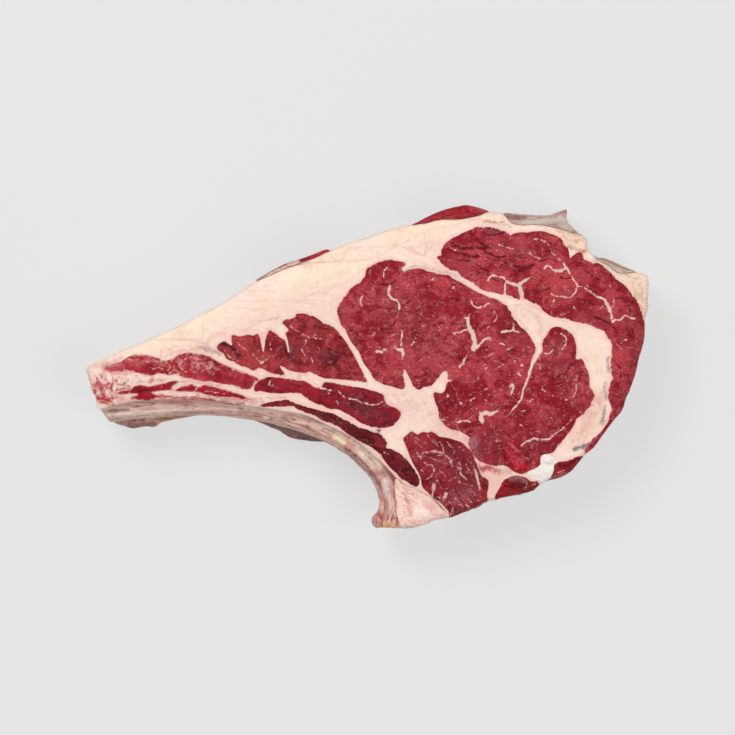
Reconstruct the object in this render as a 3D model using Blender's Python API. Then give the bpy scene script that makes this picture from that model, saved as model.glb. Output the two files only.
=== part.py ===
"""A bone-in ribeye steak that lies flat on one cut face: the muscles, the fat between and around them,
the rib along its hollow side, the cartilage at the rib's inner end, and the thin skins on its edge.

Outlines are drawn in picture units, x to the right and y down, and scaled to the steak's real length.
The muscles and the fat run straight through the steak, because it is a slice across them.
"""

import math

import bmesh
import bpy
from mathutils import Vector

# Driving dimensions, in metres
STEAK_LENGTH = 0.265
THICKNESS = 0.040
GAP = 0.0003

# The drawing's scale: the steak spans this many picture units, and this picture point is the origin
PICTURE_SPAN = 563.0
PICTURE_CENTRE = (368.6, 366.7)
UNIT = STEAK_LENGTH / PICTURE_SPAN
CURVE_STEPS = 2

# The body's form
EDGE_ROUNDING = 0.0020
SIDE_BULGE = 0.0012
BULGE_CLEAR_OF_BONE = 0.012
SHOULDER_DROP = 0.0016
SHOULDER_REACH = 0.007
SWELL = 0.0007
SWELL_LENGTHS = (0.041, 0.033)
TOP_GRID = 0.015
WALL_LEVELS = (0.012, 0.029)

# The muscles stand a little above the fat, most of it within this distance of their edge
MUSCLE_CROWN = 0.0009
CROWN_REACH = 0.004

# The rib: flat, so taller than it is wide, and set below the upper cut face
RIB_MIDDLE = 0.0235
RIB_HALF_HEIGHT = 0.0142
RIB_TALLER = 2.9
RIB_SIDES = 3
RIB_STEPS = 3
SAW_CUT = ((96.0, 403.0), (113.0, 426.0))

FLAP_HEIGHT = 0.0088
FLAP_EDGE = 0.0030
FLAP_REACH = 0.013

CARTILAGE_RANGE = (0.0015, 0.0365)
CARTILAGE_ROUNDING = 0.0040

MEMBRANE_RANGE = (0.0008, 0.0370)
MEMBRANE_SLOPE = 0.8

BODY_OUTLINE = [
    (87, 368), (100, 362), (130, 348), (160, 334), (190, 321), (220, 305), (250, 288), (275, 273),
    (310, 260), (330, 251), (364, 240), (395, 230), (425, 222), (455, 217), (478, 213), (500, 212),
    (511, 222), (532, 224), (556, 228), (573, 234), (587, 240), (589, 252), (603, 260), (620, 271),
    (640, 273), (649, 281), (649, 300), (646, 322), (645, 345), (638, 370), (629, 394), (618, 416),
    (603, 438), (588, 453), (576, 467), (560, 479), (542, 486), (522, 494), (496, 500), (476, 509),
    (453, 516), (446, 513), (432, 499), (415, 489), (401, 484), (384, 469), (361, 449), (334, 433),
    (301, 418), (266, 409), (229, 404), (190, 401), (150, 403), (112, 406), (98, 408), (92, 388),
]
BODY_CORNERS = {(87, 368), (98, 408), (446, 513), (453, 516)}

MUSCLE_OUTLINES = {
    "eye_muscle": [
        (388, 260), (405, 261), (404, 269), (417, 269), (440, 274), (465, 285), (485, 296), (504, 304),
        (515, 322), (527, 332), (536, 348), (533, 362), (540, 356), (545, 338), (556, 327), (570, 332),
        (576, 345), (577, 358), (583, 361), (590, 381), (594, 396), (589, 409), (576, 420), (566, 439),
        (554, 452), (543, 454), (540, 465), (528, 472), (514, 471), (502, 464), (488, 463), (474, 449),
        (463, 436), (448, 428), (438, 415), (434, 393), (445, 385), (450, 378), (446, 371), (436, 382),
        (418, 390), (410, 381), (405, 371), (404, 388), (386, 386), (370, 375), (360, 358), (346, 334),
        (338, 318), (338, 306), (349, 290), (363, 278), (368, 267),
    ],
    "cap_muscle": [
        (437, 257), (441, 247), (452, 237), (469, 229), (486, 226), (510, 233), (542, 231), (559, 236),
        (566, 246), (570, 259), (574, 253), (584, 255), (592, 261), (608, 271), (628, 290), (640, 306),
        (644, 322), (650, 345), (642, 372), (633, 394), (622, 417), (606, 440), (592, 451), (583, 450),
        (597, 438), (604, 424), (607, 404), (606, 390), (611, 375), (612, 346), (604, 332), (582, 323),
        (556, 318), (535, 304), (515, 297), (490, 289), (468, 277), (446, 266),
    ],
    "marbled_muscle": [
        (403, 438), (410, 432), (432, 431), (443, 437), (460, 441), (471, 452), (480, 466), (488, 478),
        (485, 492), (488, 500), (482, 512), (462, 520), (450, 517), (441, 503), (427, 491), (420, 479),
        (413, 457),
    ],
    "flank_muscle": [
        (216, 348), (220, 342), (230, 343), (233, 335), (244, 336), (256, 333), (261, 339), (262, 348),
        (266, 348), (267, 338), (271, 330), (280, 338), (286, 342), (288, 331), (282, 323), (296, 315), (307, 314),
        (320, 322), (338, 331), (346, 344), (356, 361), (366, 381), (352, 381), (335, 379), (313, 371),
        (290, 368), (281, 365), (286, 374), (272, 376), (252, 371), (238, 362),
    ],
    "upper_rib_muscle": [
        (254, 388), (264, 379), (285, 378), (308, 382), (330, 384), (358, 388), (385, 397), (398, 406),
        (401, 413), (396, 424), (382, 429), (362, 423), (345, 412), (320, 405), (306, 399), (300, 393),
        (280, 393), (262, 392),
    ],
    "long_rib_muscle": [
        (104, 368), (125, 360), (150, 361), (166, 359), (180, 354), (202, 353), (218, 362), (243, 370),
        (259, 378), (252, 390), (228, 387), (205, 382), (188, 378), (165, 374), (148, 376), (124, 371),
    ],
    "inner_rib_muscle": [
        (120, 393), (138, 386), (158, 384), (178, 381), (200, 384), (225, 388), (249, 398), (225, 397),
        (196, 393), (172, 391), (158, 396), (140, 399), (130, 398),
    ],
    "intercostal_muscle": [
        (258, 406), (270, 401), (290, 401), (318, 408), (342, 419), (364, 430), (384, 440), (391, 449),
        (404, 456), (414, 470), (419, 485), (410, 485), (396, 474), (378, 455), (350, 435), (325, 422),
        (300, 411), (284, 406),
    ],
    "lower_muscle": [
        (492, 503), (499, 488), (511, 477), (528, 480), (540, 483), (538, 494), (516, 498), (498, 504),
    ],
    "tail_muscle": [
        (557, 463), (571, 459), (583, 455), (590, 456), (580, 470), (562, 482), (547, 485), (554, 470),
    ],
    "white_fat_lump": [
        (543, 456), (554, 458), (553, 470), (545, 483), (541, 490), (531, 475), (541, 468),
    ],
}

# The rib's centreline from the sawn end to the spine, in picture units, with its half width in metres
RIB_PATH = [
    (88, 416, 0.0050), (112, 412, 0.0047), (140, 410, 0.0045), (170, 408, 0.0043), (210, 407, 0.0042),
    (250, 411, 0.0043), (290, 419, 0.0045), (320, 429, 0.0048), (348, 444, 0.0050), (369, 461, 0.0052),
    (385, 481, 0.0055), (392, 503, 0.0061), (391, 514, 0.0062), (389, 522, 0.0077), (389, 528, 0.0070),
]

CARTILAGE_OUTLINE = [
    (394, 478), (420, 480), (442, 492), (456, 509), (448, 518), (436, 521), (421, 527), (408, 529),
    (399, 527), (394, 505),
]

FLAP_OUTLINE = [
    (104, 410), (108, 420), (121, 427), (135, 429), (150, 427), (163, 422), (190, 417), (222, 414),
    (240, 416), (258, 421), (282, 433), (300, 439), (328, 442), (346, 450), (366, 469), (371, 462),
    (350, 436), (310, 416), (260, 404), (190, 399), (130, 402),
]

MEMBRANE_OUTLINES = {
    "top_membrane": [
        (501, 216), (510, 214), (535, 216), (554, 215), (567, 210), (568, 221), (581, 235), (560, 234),
        (530, 229), (505, 226),
    ],
    "side_membrane": [(596, 256), (612, 260), (629, 269), (636, 275), (618, 276), (600, 263)],
}

# Thin strips of the outer muscle that were left on the fat, then their lowest and highest points
STRIP_OUTLINES = {
    "left_strip": [(262, 277), (285, 265), (306, 257), (328, 249), (332, 252), (310, 262), (280, 273)],
    "top_strip": [
        (412, 225), (426, 216), (441, 209), (456, 205), (472, 205), (488, 210), (486, 216), (460, 222),
        (430, 225),
    ],
}
STRIP_RANGES = {"left_strip": (0.0006, 0.0375), "top_strip": (0.0008, 0.0380)}

FINISHES = {
    "muscle": ((0.352, 0.048, 0.062), 0.45),
    "dark_muscle": ((0.212, 0.032, 0.040), 0.45),
    "fat": ((0.900, 0.730, 0.620), 0.50),
    "white_fat": ((0.860, 0.790, 0.730), 0.50),
    "bone": ((0.620, 0.420, 0.350), 0.55),
    "cartilage": ((0.830, 0.620, 0.540), 0.40),
    "membrane": ((0.560, 0.400, 0.330), 0.50),
}


def place(point):
    """A picture point as x and y in metres, with y up."""
    return Vector(((point[0] - PICTURE_CENTRE[0]) * UNIT, (PICTURE_CENTRE[1] - point[1]) * UNIT))


def signed_area(ring):
    """The area inside a closed ring, positive when it runs anticlockwise."""
    return sum(a.cross(b) for a, b in zip(ring, ring[1:] + ring[:1])) / 2


def smooth_ring(outline, corners=(), grow=0.0):
    """Points in metres on a smooth closed curve through the outline, moved outwards by grow.

    The curve is straight on both sides of a corner."""
    knots = [place(point) for point in outline]
    count = len(knots)
    ring = []
    for i, (start, end) in enumerate(zip(knots, knots[1:] + knots[:1])):
        before = start if outline[i] in corners else knots[i - 1]
        after = end if outline[(i + 1) % count] in corners else knots[(i + 2) % count]
        leave = (end - before) / 2
        arrive = (after - start) / 2
        for step in range(CURVE_STEPS):
            t = step / CURVE_STEPS
            ring.append(
                start * (2 * t**3 - 3 * t**2 + 1)
                + leave * (t**3 - 2 * t**2 + t)
                + end * (3 * t**2 - 2 * t**3)
                + arrive * (t**3 - t**2)
            )
    if signed_area(ring) < 0:
        ring.reverse()
    if not grow:
        return ring
    moved = []
    for before, point, after in zip(ring[-1:] + ring[:-1], ring, ring[1:] + ring[:1]):
        side_in = (point - before).normalized()
        side_out = (after - point).normalized()
        along = (side_in + side_out).normalized()
        mitre = grow / max(0.5, along.dot(side_out))
        moved.append(point + Vector((along.y, -along.x)) * mitre)
    return moved


def distance_to_ring(point, ring):
    """The distance from a point to the nearest side of a closed ring."""
    best = math.inf
    for start, end in zip(ring, ring[1:] + ring[:1]):
        side = end - start
        share = max(0.0, min(1.0, (point - start).dot(side) / side.length_squared))
        best = min(best, (point - start - side * share).length)
    return best


def solid_from(curve, name):
    """A mesh object made from a curve, with its caps welded to its sides."""
    guide = bpy.data.objects.new(name + "_guide", curve)
    bpy.context.scene.collection.objects.link(guide)
    bpy.context.view_layer.update()
    evaluated = guide.evaluated_get(bpy.context.evaluated_depsgraph_get())
    mesh = bpy.data.meshes.new_from_object(evaluated)
    mesh.name = name
    bpy.data.objects.remove(guide)
    cage = bmesh.new()
    cage.from_mesh(mesh)
    bmesh.ops.remove_doubles(cage, verts=cage.verts, dist=1e-6)
    bmesh.ops.recalc_face_normals(cage, faces=cage.faces)
    cage.to_mesh(mesh)
    cage.free()
    mesh.materials.clear()
    solid = bpy.data.objects.new(name, mesh)
    bpy.context.scene.collection.objects.link(solid)
    return solid


def slab(name, ring, low, high, rounding=0.0):
    """A flat solid with this ring as its widest outline, from height low to high."""
    curve = bpy.data.curves.new(name, "CURVE")
    curve.dimensions = "2D"
    curve.fill_mode = "BOTH"
    curve.extrude = (high - low) / 2 - rounding
    if rounding:
        curve.bevel_depth = rounding
        curve.bevel_resolution = 1
        curve.offset = -rounding
    spline = curve.splines.new("POLY")
    spline.points.add(len(ring) - 1)
    for point, corner in zip(spline.points, ring):
        point.co = (corner.x, corner.y, 0.0, 1.0)
    spline.use_cyclic_u = True
    solid = solid_from(curve, name)
    solid.data.transform(solid.matrix_world.Translation((0.0, 0.0, (low + high) / 2)))
    return solid


def combine(solid, tool, operation):
    """Cuts a solid by a tool, or keeps what they share, and applies it."""
    modifier = solid.modifiers.new(operation.lower(), "BOOLEAN")
    modifier.object = tool
    modifier.operation = operation
    modifier.solver = "MANIFOLD"
    bpy.context.view_layer.update()
    evaluated = solid.evaluated_get(bpy.context.evaluated_depsgraph_get())
    mesh = bpy.data.meshes.new_from_object(evaluated)
    solid.modifiers.clear()
    solid.data = mesh


def copy_of(solid, name):
    """A separate copy of a solid, with its own mesh."""
    made = solid.copy()
    made.data = solid.data.copy()
    made.name = name
    bpy.context.scene.collection.objects.link(made)
    return made


def keep_largest(solid):
    """Drops the loose scraps that cutting left, and keeps the largest body."""
    cage = bmesh.new()
    cage.from_mesh(solid.data)
    unseen = set(cage.verts)
    bodies = []
    while unseen:
        body = {unseen.pop()}
        edge_of_body = set(body)
        while edge_of_body:
            near = {e.other_vert(v) for v in edge_of_body for e in v.link_edges}
            edge_of_body = near & unseen
            unseen -= edge_of_body
            body |= edge_of_body
        bodies.append(body)
    largest = max(bodies, key=len)
    scraps = [v for v in cage.verts if v not in largest]
    bmesh.ops.delete(cage, geom=scraps, context="VERTS")
    cage.to_mesh(solid.data)
    cage.free()


def rib_distance(point):
    """How far a point of the plan is from the rib's centreline."""
    path = [place(knot[:2]) for knot in RIB_PATH]
    best = math.inf
    for start, end in zip(path, path[1:]):
        side = end - start
        share = max(0.0, min(1.0, (point - start).dot(side) / side.length_squared))
        best = min(best, (point - start - side * share).length)
    return best


def bulge_share(point):
    """How much of the side bulge there is at a point of the plan: none beside the rib, all of it far from it."""
    return max(0.0, min(1.0, rib_distance(point) / BULGE_CLEAR_OF_BONE - 1))


def make_wall():
    """The space that the slice takes up in plan with its bulge, and the gap round it."""
    near = smooth_ring(BODY_OUTLINE, BODY_CORNERS, grow=GAP)
    far = smooth_ring(BODY_OUTLINE, BODY_CORNERS, grow=SIDE_BULGE + GAP)
    ring = [a.lerp(b, bulge_share(a)) for a, b in zip(near, far)]
    return slab("wall", ring, -THICKNESS, 2 * THICKNESS)


def make_body():
    """The whole slice without the rib: rounded at its edges, bulging at its sides, uneven on top."""
    ring = smooth_ring(BODY_OUTLINE, BODY_CORNERS)
    body = slab("body", ring, 0.0, THICKNESS, EDGE_ROUNDING)
    cage = bmesh.new()
    cage.from_mesh(body.data)
    for level in WALL_LEVELS:
        everything = cage.verts[:] + cage.edges[:] + cage.faces[:]
        bmesh.ops.bisect_plane(cage, geom=everything, plane_co=(0, 0, level), plane_no=(0, 0, 1))
    low = min(v.co.x for v in cage.verts), min(v.co.y for v in cage.verts)
    high = max(v.co.x for v in cage.verts), max(v.co.y for v in cage.verts)
    for axis in (0, 1):
        normal = Vector((1 - axis, axis, 0))
        for line in range(1, int((high[axis] - low[axis]) / TOP_GRID) + 1):
            top = [f for f in cage.faces if f.normal.z > 0.9 and f.calc_center_median().z > THICKNESS / 2]
            geometry = set(top)
            for face in top:
                geometry.update(face.edges)
                geometry.update(face.verts)
            centre = normal * (low[axis] + line * TOP_GRID)
            bmesh.ops.bisect_plane(cage, geom=list(geometry), plane_co=centre, plane_no=normal, dist=1e-5)
    cage.normal_update()
    for v in cage.verts:
        flat = Vector((v.co.x, v.co.y))
        outwards = Vector((v.normal.x, v.normal.y, 0.0))
        bulge = SIDE_BULGE * bulge_share(flat) * math.sin(math.pi * v.co.z / THICKNESS)
        if v.co.z > THICKNESS / 2:
            edge = distance_to_ring(flat, ring)
            rise = max(0.0, v.co.z - WALL_LEVELS[-1]) / (THICKNESS - WALL_LEVELS[-1])
            swell = SWELL * math.sin(flat.x / SWELL_LENGTHS[0] * 2) * math.cos(flat.y / SWELL_LENGTHS[1] * 2)
            v.co.z += rise * (swell - SHOULDER_DROP * math.exp(-edge / SHOULDER_REACH))
        if outwards.length > 0.3:
            v.co += outwards.normalized() * bulge
    bmesh.ops.triangulate(cage, faces=cage.faces)
    cage.to_mesh(body.data)
    cage.free()
    return body


def make_rib(grow=0.0):
    """The rib: a curved bar, flattened into a tall oval, sawn off at its outer end."""
    curve = bpy.data.curves.new("rib_bone", "CURVE")
    curve.dimensions = "3D"
    curve.resolution_u = RIB_STEPS
    curve.bevel_depth = 1.0
    curve.bevel_resolution = RIB_SIDES
    curve.use_fill_caps = True
    spline = curve.splines.new("BEZIER")
    spline.bezier_points.add(len(RIB_PATH) - 1)
    for knot, (x, y, half_width) in zip(spline.bezier_points, RIB_PATH):
        knot.co = place((x, y)).to_3d()
        knot.radius = half_width + grow
        knot.handle_left_type = knot.handle_right_type = "AUTO"
    rib = solid_from(curve, "rib_bone")
    half_height = RIB_HALF_HEIGHT + grow
    for v in rib.data.vertices:
        v.co.z = RIB_MIDDLE + half_height * math.tanh(v.co.z * RIB_TALLER / half_height)
    if not grow:
        start, end = (place(point) for point in SAW_CUT)
        along = (end - start).normalized()
        cage = bmesh.new()
        cage.from_mesh(rib.data)
        bmesh.ops.bisect_plane(
            cage,
            geom=cage.verts[:] + cage.edges[:] + cage.faces[:],
            plane_co=start.to_3d(),
            plane_no=(-along.y, along.x, 0.0),
            clear_inner=True,
        )
        bmesh.ops.holes_fill(cage, edges=[e for e in cage.edges if e.is_boundary])
        bmesh.ops.recalc_face_normals(cage, faces=cage.faces)
        cage.to_mesh(rib.data)
        cage.free()
    return rib


def crown(solid, ring):
    """Raises the upper face of a muscle towards its middle."""
    for v in solid.data.vertices:
        if v.co.z > THICKNESS - 0.009:
            edge = distance_to_ring(Vector((v.co.x, v.co.y)), ring)
            v.co.z += MUSCLE_CROWN * (1 - math.exp(-edge / CROWN_REACH))


def make_muscles(body):
    """One solid for each muscle and for the white lump, cut from the body, and the body without them."""
    muscles = {}
    for name, outline in MUSCLE_OUTLINES.items():
        ring = smooth_ring(outline)
        muscle = copy_of(body, name)
        prism = slab("prism", ring, -THICKNESS, 2 * THICKNESS)
        combine(muscle, prism, "INTERSECT")
        bpy.data.objects.remove(prism)
        keep_largest(muscle)
        crown(muscle, ring)
        muscles[name] = muscle
        cutter = slab("cutter", smooth_ring(outline, grow=GAP), -THICKNESS, 2 * THICKNESS)
        combine(body, cutter, "DIFFERENCE")
        bpy.data.objects.remove(cutter)
    return muscles


def make_edge_pieces(wall, rib_tool):
    """The cartilage, the flap under the rib, the membranes and the strips, each cut clear of the body."""
    pieces = {}
    cartilage = slab("cartilage", smooth_ring(CARTILAGE_OUTLINE), *CARTILAGE_RANGE, CARTILAGE_ROUNDING)
    pieces["cartilage"] = cartilage
    flap = slab("rib_flap", smooth_ring(FLAP_OUTLINE), 0.0, FLAP_HEIGHT)
    for v in flap.data.vertices:
        if v.co.z > FLAP_HEIGHT / 2:
            share = min(1.0, rib_distance(Vector((v.co.x, v.co.y))) / FLAP_REACH)
            v.co.z = FLAP_HEIGHT + (FLAP_EDGE - FLAP_HEIGHT) * share
    pieces["rib_flap"] = flap
    body_ring = smooth_ring(BODY_OUTLINE, BODY_CORNERS)
    for name, outline in MEMBRANE_OUTLINES.items():
        sheet = slab(name, smooth_ring(outline), *MEMBRANE_RANGE)
        for v in sheet.data.vertices:
            if v.co.z > THICKNESS / 2:
                v.co.z -= MEMBRANE_SLOPE * distance_to_ring(Vector((v.co.x, v.co.y)), body_ring)
        pieces[name] = sheet
    for name, outline in STRIP_OUTLINES.items():
        pieces[name] = slab(name, smooth_ring(outline), *STRIP_RANGES[name], EDGE_ROUNDING / 2)
    for name, piece in pieces.items():
        combine(piece, wall, "DIFFERENCE")
        if name in ("cartilage", "rib_flap"):
            combine(piece, rib_tool, "DIFFERENCE")
        keep_largest(piece)
    return pieces


def finish_of(name):
    """The finish that a node is made of."""
    if name in ("marbled_muscle", "intercostal_muscle", "lower_muscle", "rib_flap"):
        return "dark_muscle"
    for ending, finish in (("muscle", "muscle"), ("strip", "muscle"), ("membrane", "membrane")):
        if name.endswith(ending):
            return finish
    return {"fat": "fat", "white_fat_lump": "white_fat", "rib_bone": "bone", "cartilage": "cartilage"}[name]


def make_material(name):
    """A plain material with the finish's colour and roughness."""
    colour, roughness = FINISHES[name]
    material = bpy.data.materials.new(name)
    material.use_nodes = True
    shader = material.node_tree.nodes["Principled BSDF"]
    shader.inputs["Base Color"].default_value = (*colour, 1.0)
    shader.inputs["Roughness"].default_value = roughness
    shader.inputs["Metallic"].default_value = 0.0
    return material


def main():
    """Builds the steak's solids and files them in one collection."""
    for old in list(bpy.data.objects):
        bpy.data.objects.remove(old)
    body = make_body()
    rib = make_rib()
    rib_tool = make_rib(grow=GAP)
    combine(body, rib_tool, "DIFFERENCE")
    wall = make_wall()
    nodes = make_edge_pieces(wall, rib_tool)
    nodes.update(make_muscles(body))
    body.name = "fat"
    keep_largest(body)
    nodes["fat"] = body
    nodes["rib_bone"] = rib
    for tool in (wall, rib_tool):
        bpy.data.objects.remove(tool)
    steak = bpy.data.collections.new("bone_in_ribeye_steak")
    bpy.context.scene.collection.children.link(steak)
    materials = {name: make_material(name) for name in FINISHES}
    for name, node in nodes.items():
        node.name = name
        node.data.name = name
        node.data.materials.clear()
        node.data.materials.append(materials[finish_of(name)])
        bpy.context.scene.collection.objects.unlink(node)
        steak.objects.link(node)


main()
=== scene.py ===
"""A raw bone-in ribeye steak, dressed for the camera that looks straight down on its upper cut face.

The tissues are drawn in picture units, x to the right and y down, and scaled to the steak's real length.
Each muscle and the fat are cut from one slice, so both cut faces and the sides show the same tissue.
"""

import logging
import math
from dataclasses import dataclass, field
from enum import Enum

import bpy
import numpy as np
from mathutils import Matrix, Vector, noise


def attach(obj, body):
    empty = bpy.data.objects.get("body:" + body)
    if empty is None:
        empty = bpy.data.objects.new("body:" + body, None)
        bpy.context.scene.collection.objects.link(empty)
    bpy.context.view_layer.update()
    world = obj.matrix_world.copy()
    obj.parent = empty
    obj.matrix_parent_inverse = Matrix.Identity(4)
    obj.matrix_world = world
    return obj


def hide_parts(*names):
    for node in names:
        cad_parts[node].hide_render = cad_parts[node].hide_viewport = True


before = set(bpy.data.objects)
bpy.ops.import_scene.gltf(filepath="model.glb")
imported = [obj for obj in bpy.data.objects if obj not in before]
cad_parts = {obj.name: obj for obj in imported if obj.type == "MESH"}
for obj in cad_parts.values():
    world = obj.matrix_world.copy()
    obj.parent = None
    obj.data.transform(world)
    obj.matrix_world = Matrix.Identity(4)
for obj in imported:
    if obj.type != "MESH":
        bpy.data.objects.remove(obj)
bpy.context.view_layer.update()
log = logging.getLogger("steak")

# The drawing's scale, which the solids share, and the picture's width in its units
UNIT = 0.265 / 563.0
CENTRE = (368.6, 366.7)
PICTURE = 735
THICKNESS = 0.040
MM = 0.001

# The grid that the cut faces are modelled on, and the levels of the outer sides
GRID = 0.00052
SIDE_LEVELS = (0.0020, 0.005, 0.010, 0.015, 0.020, 0.025, 0.030, 0.035, 0.038)
EDGE_ROUNDING = 0.0020
SIDE_BULGE = 0.0012

# How far a muscle grows into the fat, how far a cutter reaches past the cut faces, and how near to a
# border its distance is measured finely
OVERLAP = 0.00008
BEYOND = 0.02
NEAR = 0.006

# The strips, skins and flaps have a grid and levels of their own
LEDGE_GRID = 0.0005
LEDGE_LEVELS = (0.005, 0.012, 0.020, 0.028, 0.034)
LEDGE_ROUNDING = 0.0012

# Past these angles, in degrees, an edge stays sharp
CREASE_ANGLE = 50.0
LEDGE_CREASE_ANGLE = 55.0
NO_CREASE_ANGLE = 180.0

# A rim this far off, in millimetres, gets no fat smeared over it
FAR_FROM_FAT = 3.0

# A colour mix, and the places of its sockets
MIX = {"data_type": "RGBA"}
MIX_A, MIX_B, MIX_OUT = 6, 7, 2


class Slot(Enum):
    """The record's material slots."""

    MUSCLE = "muscle"
    DARK_MUSCLE = "dark_muscle"
    FAT = "fat"
    WHITE_FAT = "white_fat"
    BONE = "bone"
    CARTILAGE = "cartilage"
    MEMBRANE = "membrane"


def linear(colour: str) -> tuple[float, float, float, float]:
    """Turns an sRGB hex colour into the linear one that a shader takes.

    Args:
        colour: the colour as #rrggbb.

    Returns:
        The linear red, green and blue, and an alpha of 1.
    """
    shares = [int(colour[i : i + 2], 16) / 255 for i in (1, 3, 5)]
    channels = [s / 12.92 if s <= 0.04045 else ((s + 0.055) / 1.055) ** 2.4 for s in shares]
    return channels[0], channels[1], channels[2], 1.0


def path(text: str) -> list[tuple[float, float]]:
    """Reads picture points that are written as x,y pairs with spaces between them."""
    return [tuple(float(value) for value in pair.split(",")) for pair in text.split()]


def smooth_line(text: str, closed: bool, step: float = 0.0006) -> np.ndarray:
    """Draws a smooth line in metres through picture points.

    Args:
        text: the picture points.
        closed: whether the line returns to its start.
        step: about how far apart its points are, in metres.

    Returns:
        One row for each point of the line; a closed line doesn't repeat its first point.
    """
    knots = (np.array(path(text)) - CENTRE) * (UNIT, -UNIT)
    if len(knots) == 1:
        return np.vstack([knots, knots + 1e-7])
    if closed:
        padded = np.vstack([knots[-1:], knots, knots[:2]])
    else:
        padded = np.vstack([2 * knots[:1] - knots[1:2], knots, 2 * knots[-1:] - knots[-2:-1]])
    rows = []
    for before, start, end, after in zip(padded, padded[1:], padded[2:], padded[3:]):
        count = max(1, round(float(np.linalg.norm(end - start)) / step))
        for t in np.arange(count) / count:
            rows.append(
                start * (2 * t**3 - 3 * t**2 + 1)
                + (end - before) / 2 * (t**3 - 2 * t**2 + t)
                + end * (3 * t**2 - 2 * t**3)
                + (after - start) / 2 * (t**3 - t**2)
            )
    if not closed:
        rows.append(knots[-1])
    return np.array(rows)


def grown(ring: np.ndarray, amount: float) -> np.ndarray:
    """Moves a closed ring outwards.

    Args:
        ring: its points, in metres.
        amount: how far, in metres; a negative amount moves it inwards.

    Returns:
        The moved points.
    """
    side_in = ring - np.roll(ring, 1, axis=0)
    side_out = np.roll(ring, -1, axis=0) - ring
    along = side_in / np.linalg.norm(side_in, axis=1, keepdims=True)
    along = along + side_out / np.linalg.norm(side_out, axis=1, keepdims=True)
    along /= np.maximum(np.linalg.norm(along, axis=1, keepdims=True), 1e-9)
    x, y = ring.T
    turn = np.sign((x * np.roll(y, -1) - y * np.roll(x, -1)).sum())
    return ring + np.column_stack([along[:, 1], -along[:, 0]]) * amount * turn


def distance_to(line: np.ndarray, points: np.ndarray) -> tuple[np.ndarray, np.ndarray]:
    """Measures how far points lie from a line.

    Args:
        line: the line's points; a closed one repeats its first point at the end.
        points: the points, in plan.

    Returns:
        Each point's distance, and the place on the line that is nearest to it, from 0 to 1.
    """
    start, side = line[:-1], np.diff(line, axis=0)
    squared_length = np.maximum((side**2).sum(1), 1e-18)
    length = np.sqrt(squared_length)
    before = np.concatenate([[0.0], np.cumsum(length)[:-1]])
    distance, place = np.empty(len(points)), np.empty(len(points))
    for first in range(0, len(points), 4096):
        offset = points[first : first + 4096, None] - start
        share = np.clip((offset * side).sum(2) / squared_length, 0, 1)
        squared = ((offset - share[..., None] * side) ** 2).sum(2)
        best = squared.argmin(1)
        rows = np.arange(len(best))
        distance[first : first + 4096] = np.sqrt(squared[rows, best])
        place[first : first + 4096] = (before[best] + share[rows, best] * length[best]) / length.sum()
    return distance, place


def ring_distance(ring: np.ndarray, points: np.ndarray) -> np.ndarray:
    """The distance from each point to a closed ring."""
    return distance_to(np.vstack([ring, ring[:1]]), points)[0]


@dataclass(frozen=True)
class Mark:
    """A line or a spot on a cut face: a seam of fat, a crease, a patch of colour, a painted shade or
    highlight, or a swelling.

    Attributes:
        points: its picture points; a single one makes a round spot.
        widths: its full width at the start and at the end, in picture units.
        amount: how strong it is, or how high it stands in millimetres.
        colour: the sRGB colour that it paints.
        soft: the width of its soft edge, in picture units.
        broken: the seed of the noise that breaks it up into blots; 0 leaves it whole.
    """

    points: str
    widths: tuple[float, float] = (1.0, 1.0)
    amount: float = 1.0
    colour: str = "#000000"
    soft: float = 1.3
    broken: float = 0.0

    def level(self, plan: np.ndarray) -> np.ndarray:
        """Gives the mark's strength at each point.

        Args:
            plan: the points, in metres.

        Returns:
            1 well inside the mark, a half on its edge and 0 outside its soft edge.
        """
        line = smooth_line(self.points, closed=False)
        reach = max(self.widths) / 2 * UNIT + self.soft * UNIT
        near = ((plan > line.min(0) - reach) & (plan < line.max(0) + reach)).all(1)
        level = np.zeros(len(plan))
        if near.any():
            distance, place = distance_to(line, plan[near])
            half = (self.widths[0] + (self.widths[1] - self.widths[0]) * place) / 2 * UNIT
            level[near] = np.clip(0.5 + (half - distance) / (2 * self.soft * UNIT), 0, 1)
            if self.broken:
                level[near] *= np.clip(0.35 + 2.6 * waves(plan[near], 0.0021, self.broken, 3), 0, 1)
        return level


def seams(*rows: tuple[float, float, str]) -> tuple[Mark, ...]:
    """Seams of fat from rows of start width, end width and points."""
    return tuple(Mark(points, (first, last)) for first, last, points in rows)


def creases(*rows: tuple[float, float, str]) -> tuple[Mark, ...]:
    """Creases from rows of width, depth in millimetres and points."""
    return tuple(Mark(points, (width, width), depth, soft=1.0) for width, depth, points in rows)


def stains_and_painted_light(*rows: tuple[str, float, float, float, str]) -> tuple[Mark, ...]:
    """Coloured marks, painted shade and painted highlights from rows of colour, strength, width, soft edge
    and points.
    """
    return blots(0.0, *rows)


def blots(seed: float, *rows: tuple[str, float, float, float, str]) -> tuple[Mark, ...]:
    """Marks like those of stains_and_painted_light(), broken up by noise of this seed; 0 leaves them whole.
    """
    return tuple(
        Mark(points, (width, width), strength, colour, soft, seed)
        for colour, strength, width, soft, points in rows
    )


def bumps(*rows: tuple[float, float, float, str]) -> tuple[Mark, ...]:
    """Swellings from rows of height in millimetres, width, soft edge and points."""
    return tuple(Mark(points, (width, width), height, soft=soft) for height, width, soft, points in rows)


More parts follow.
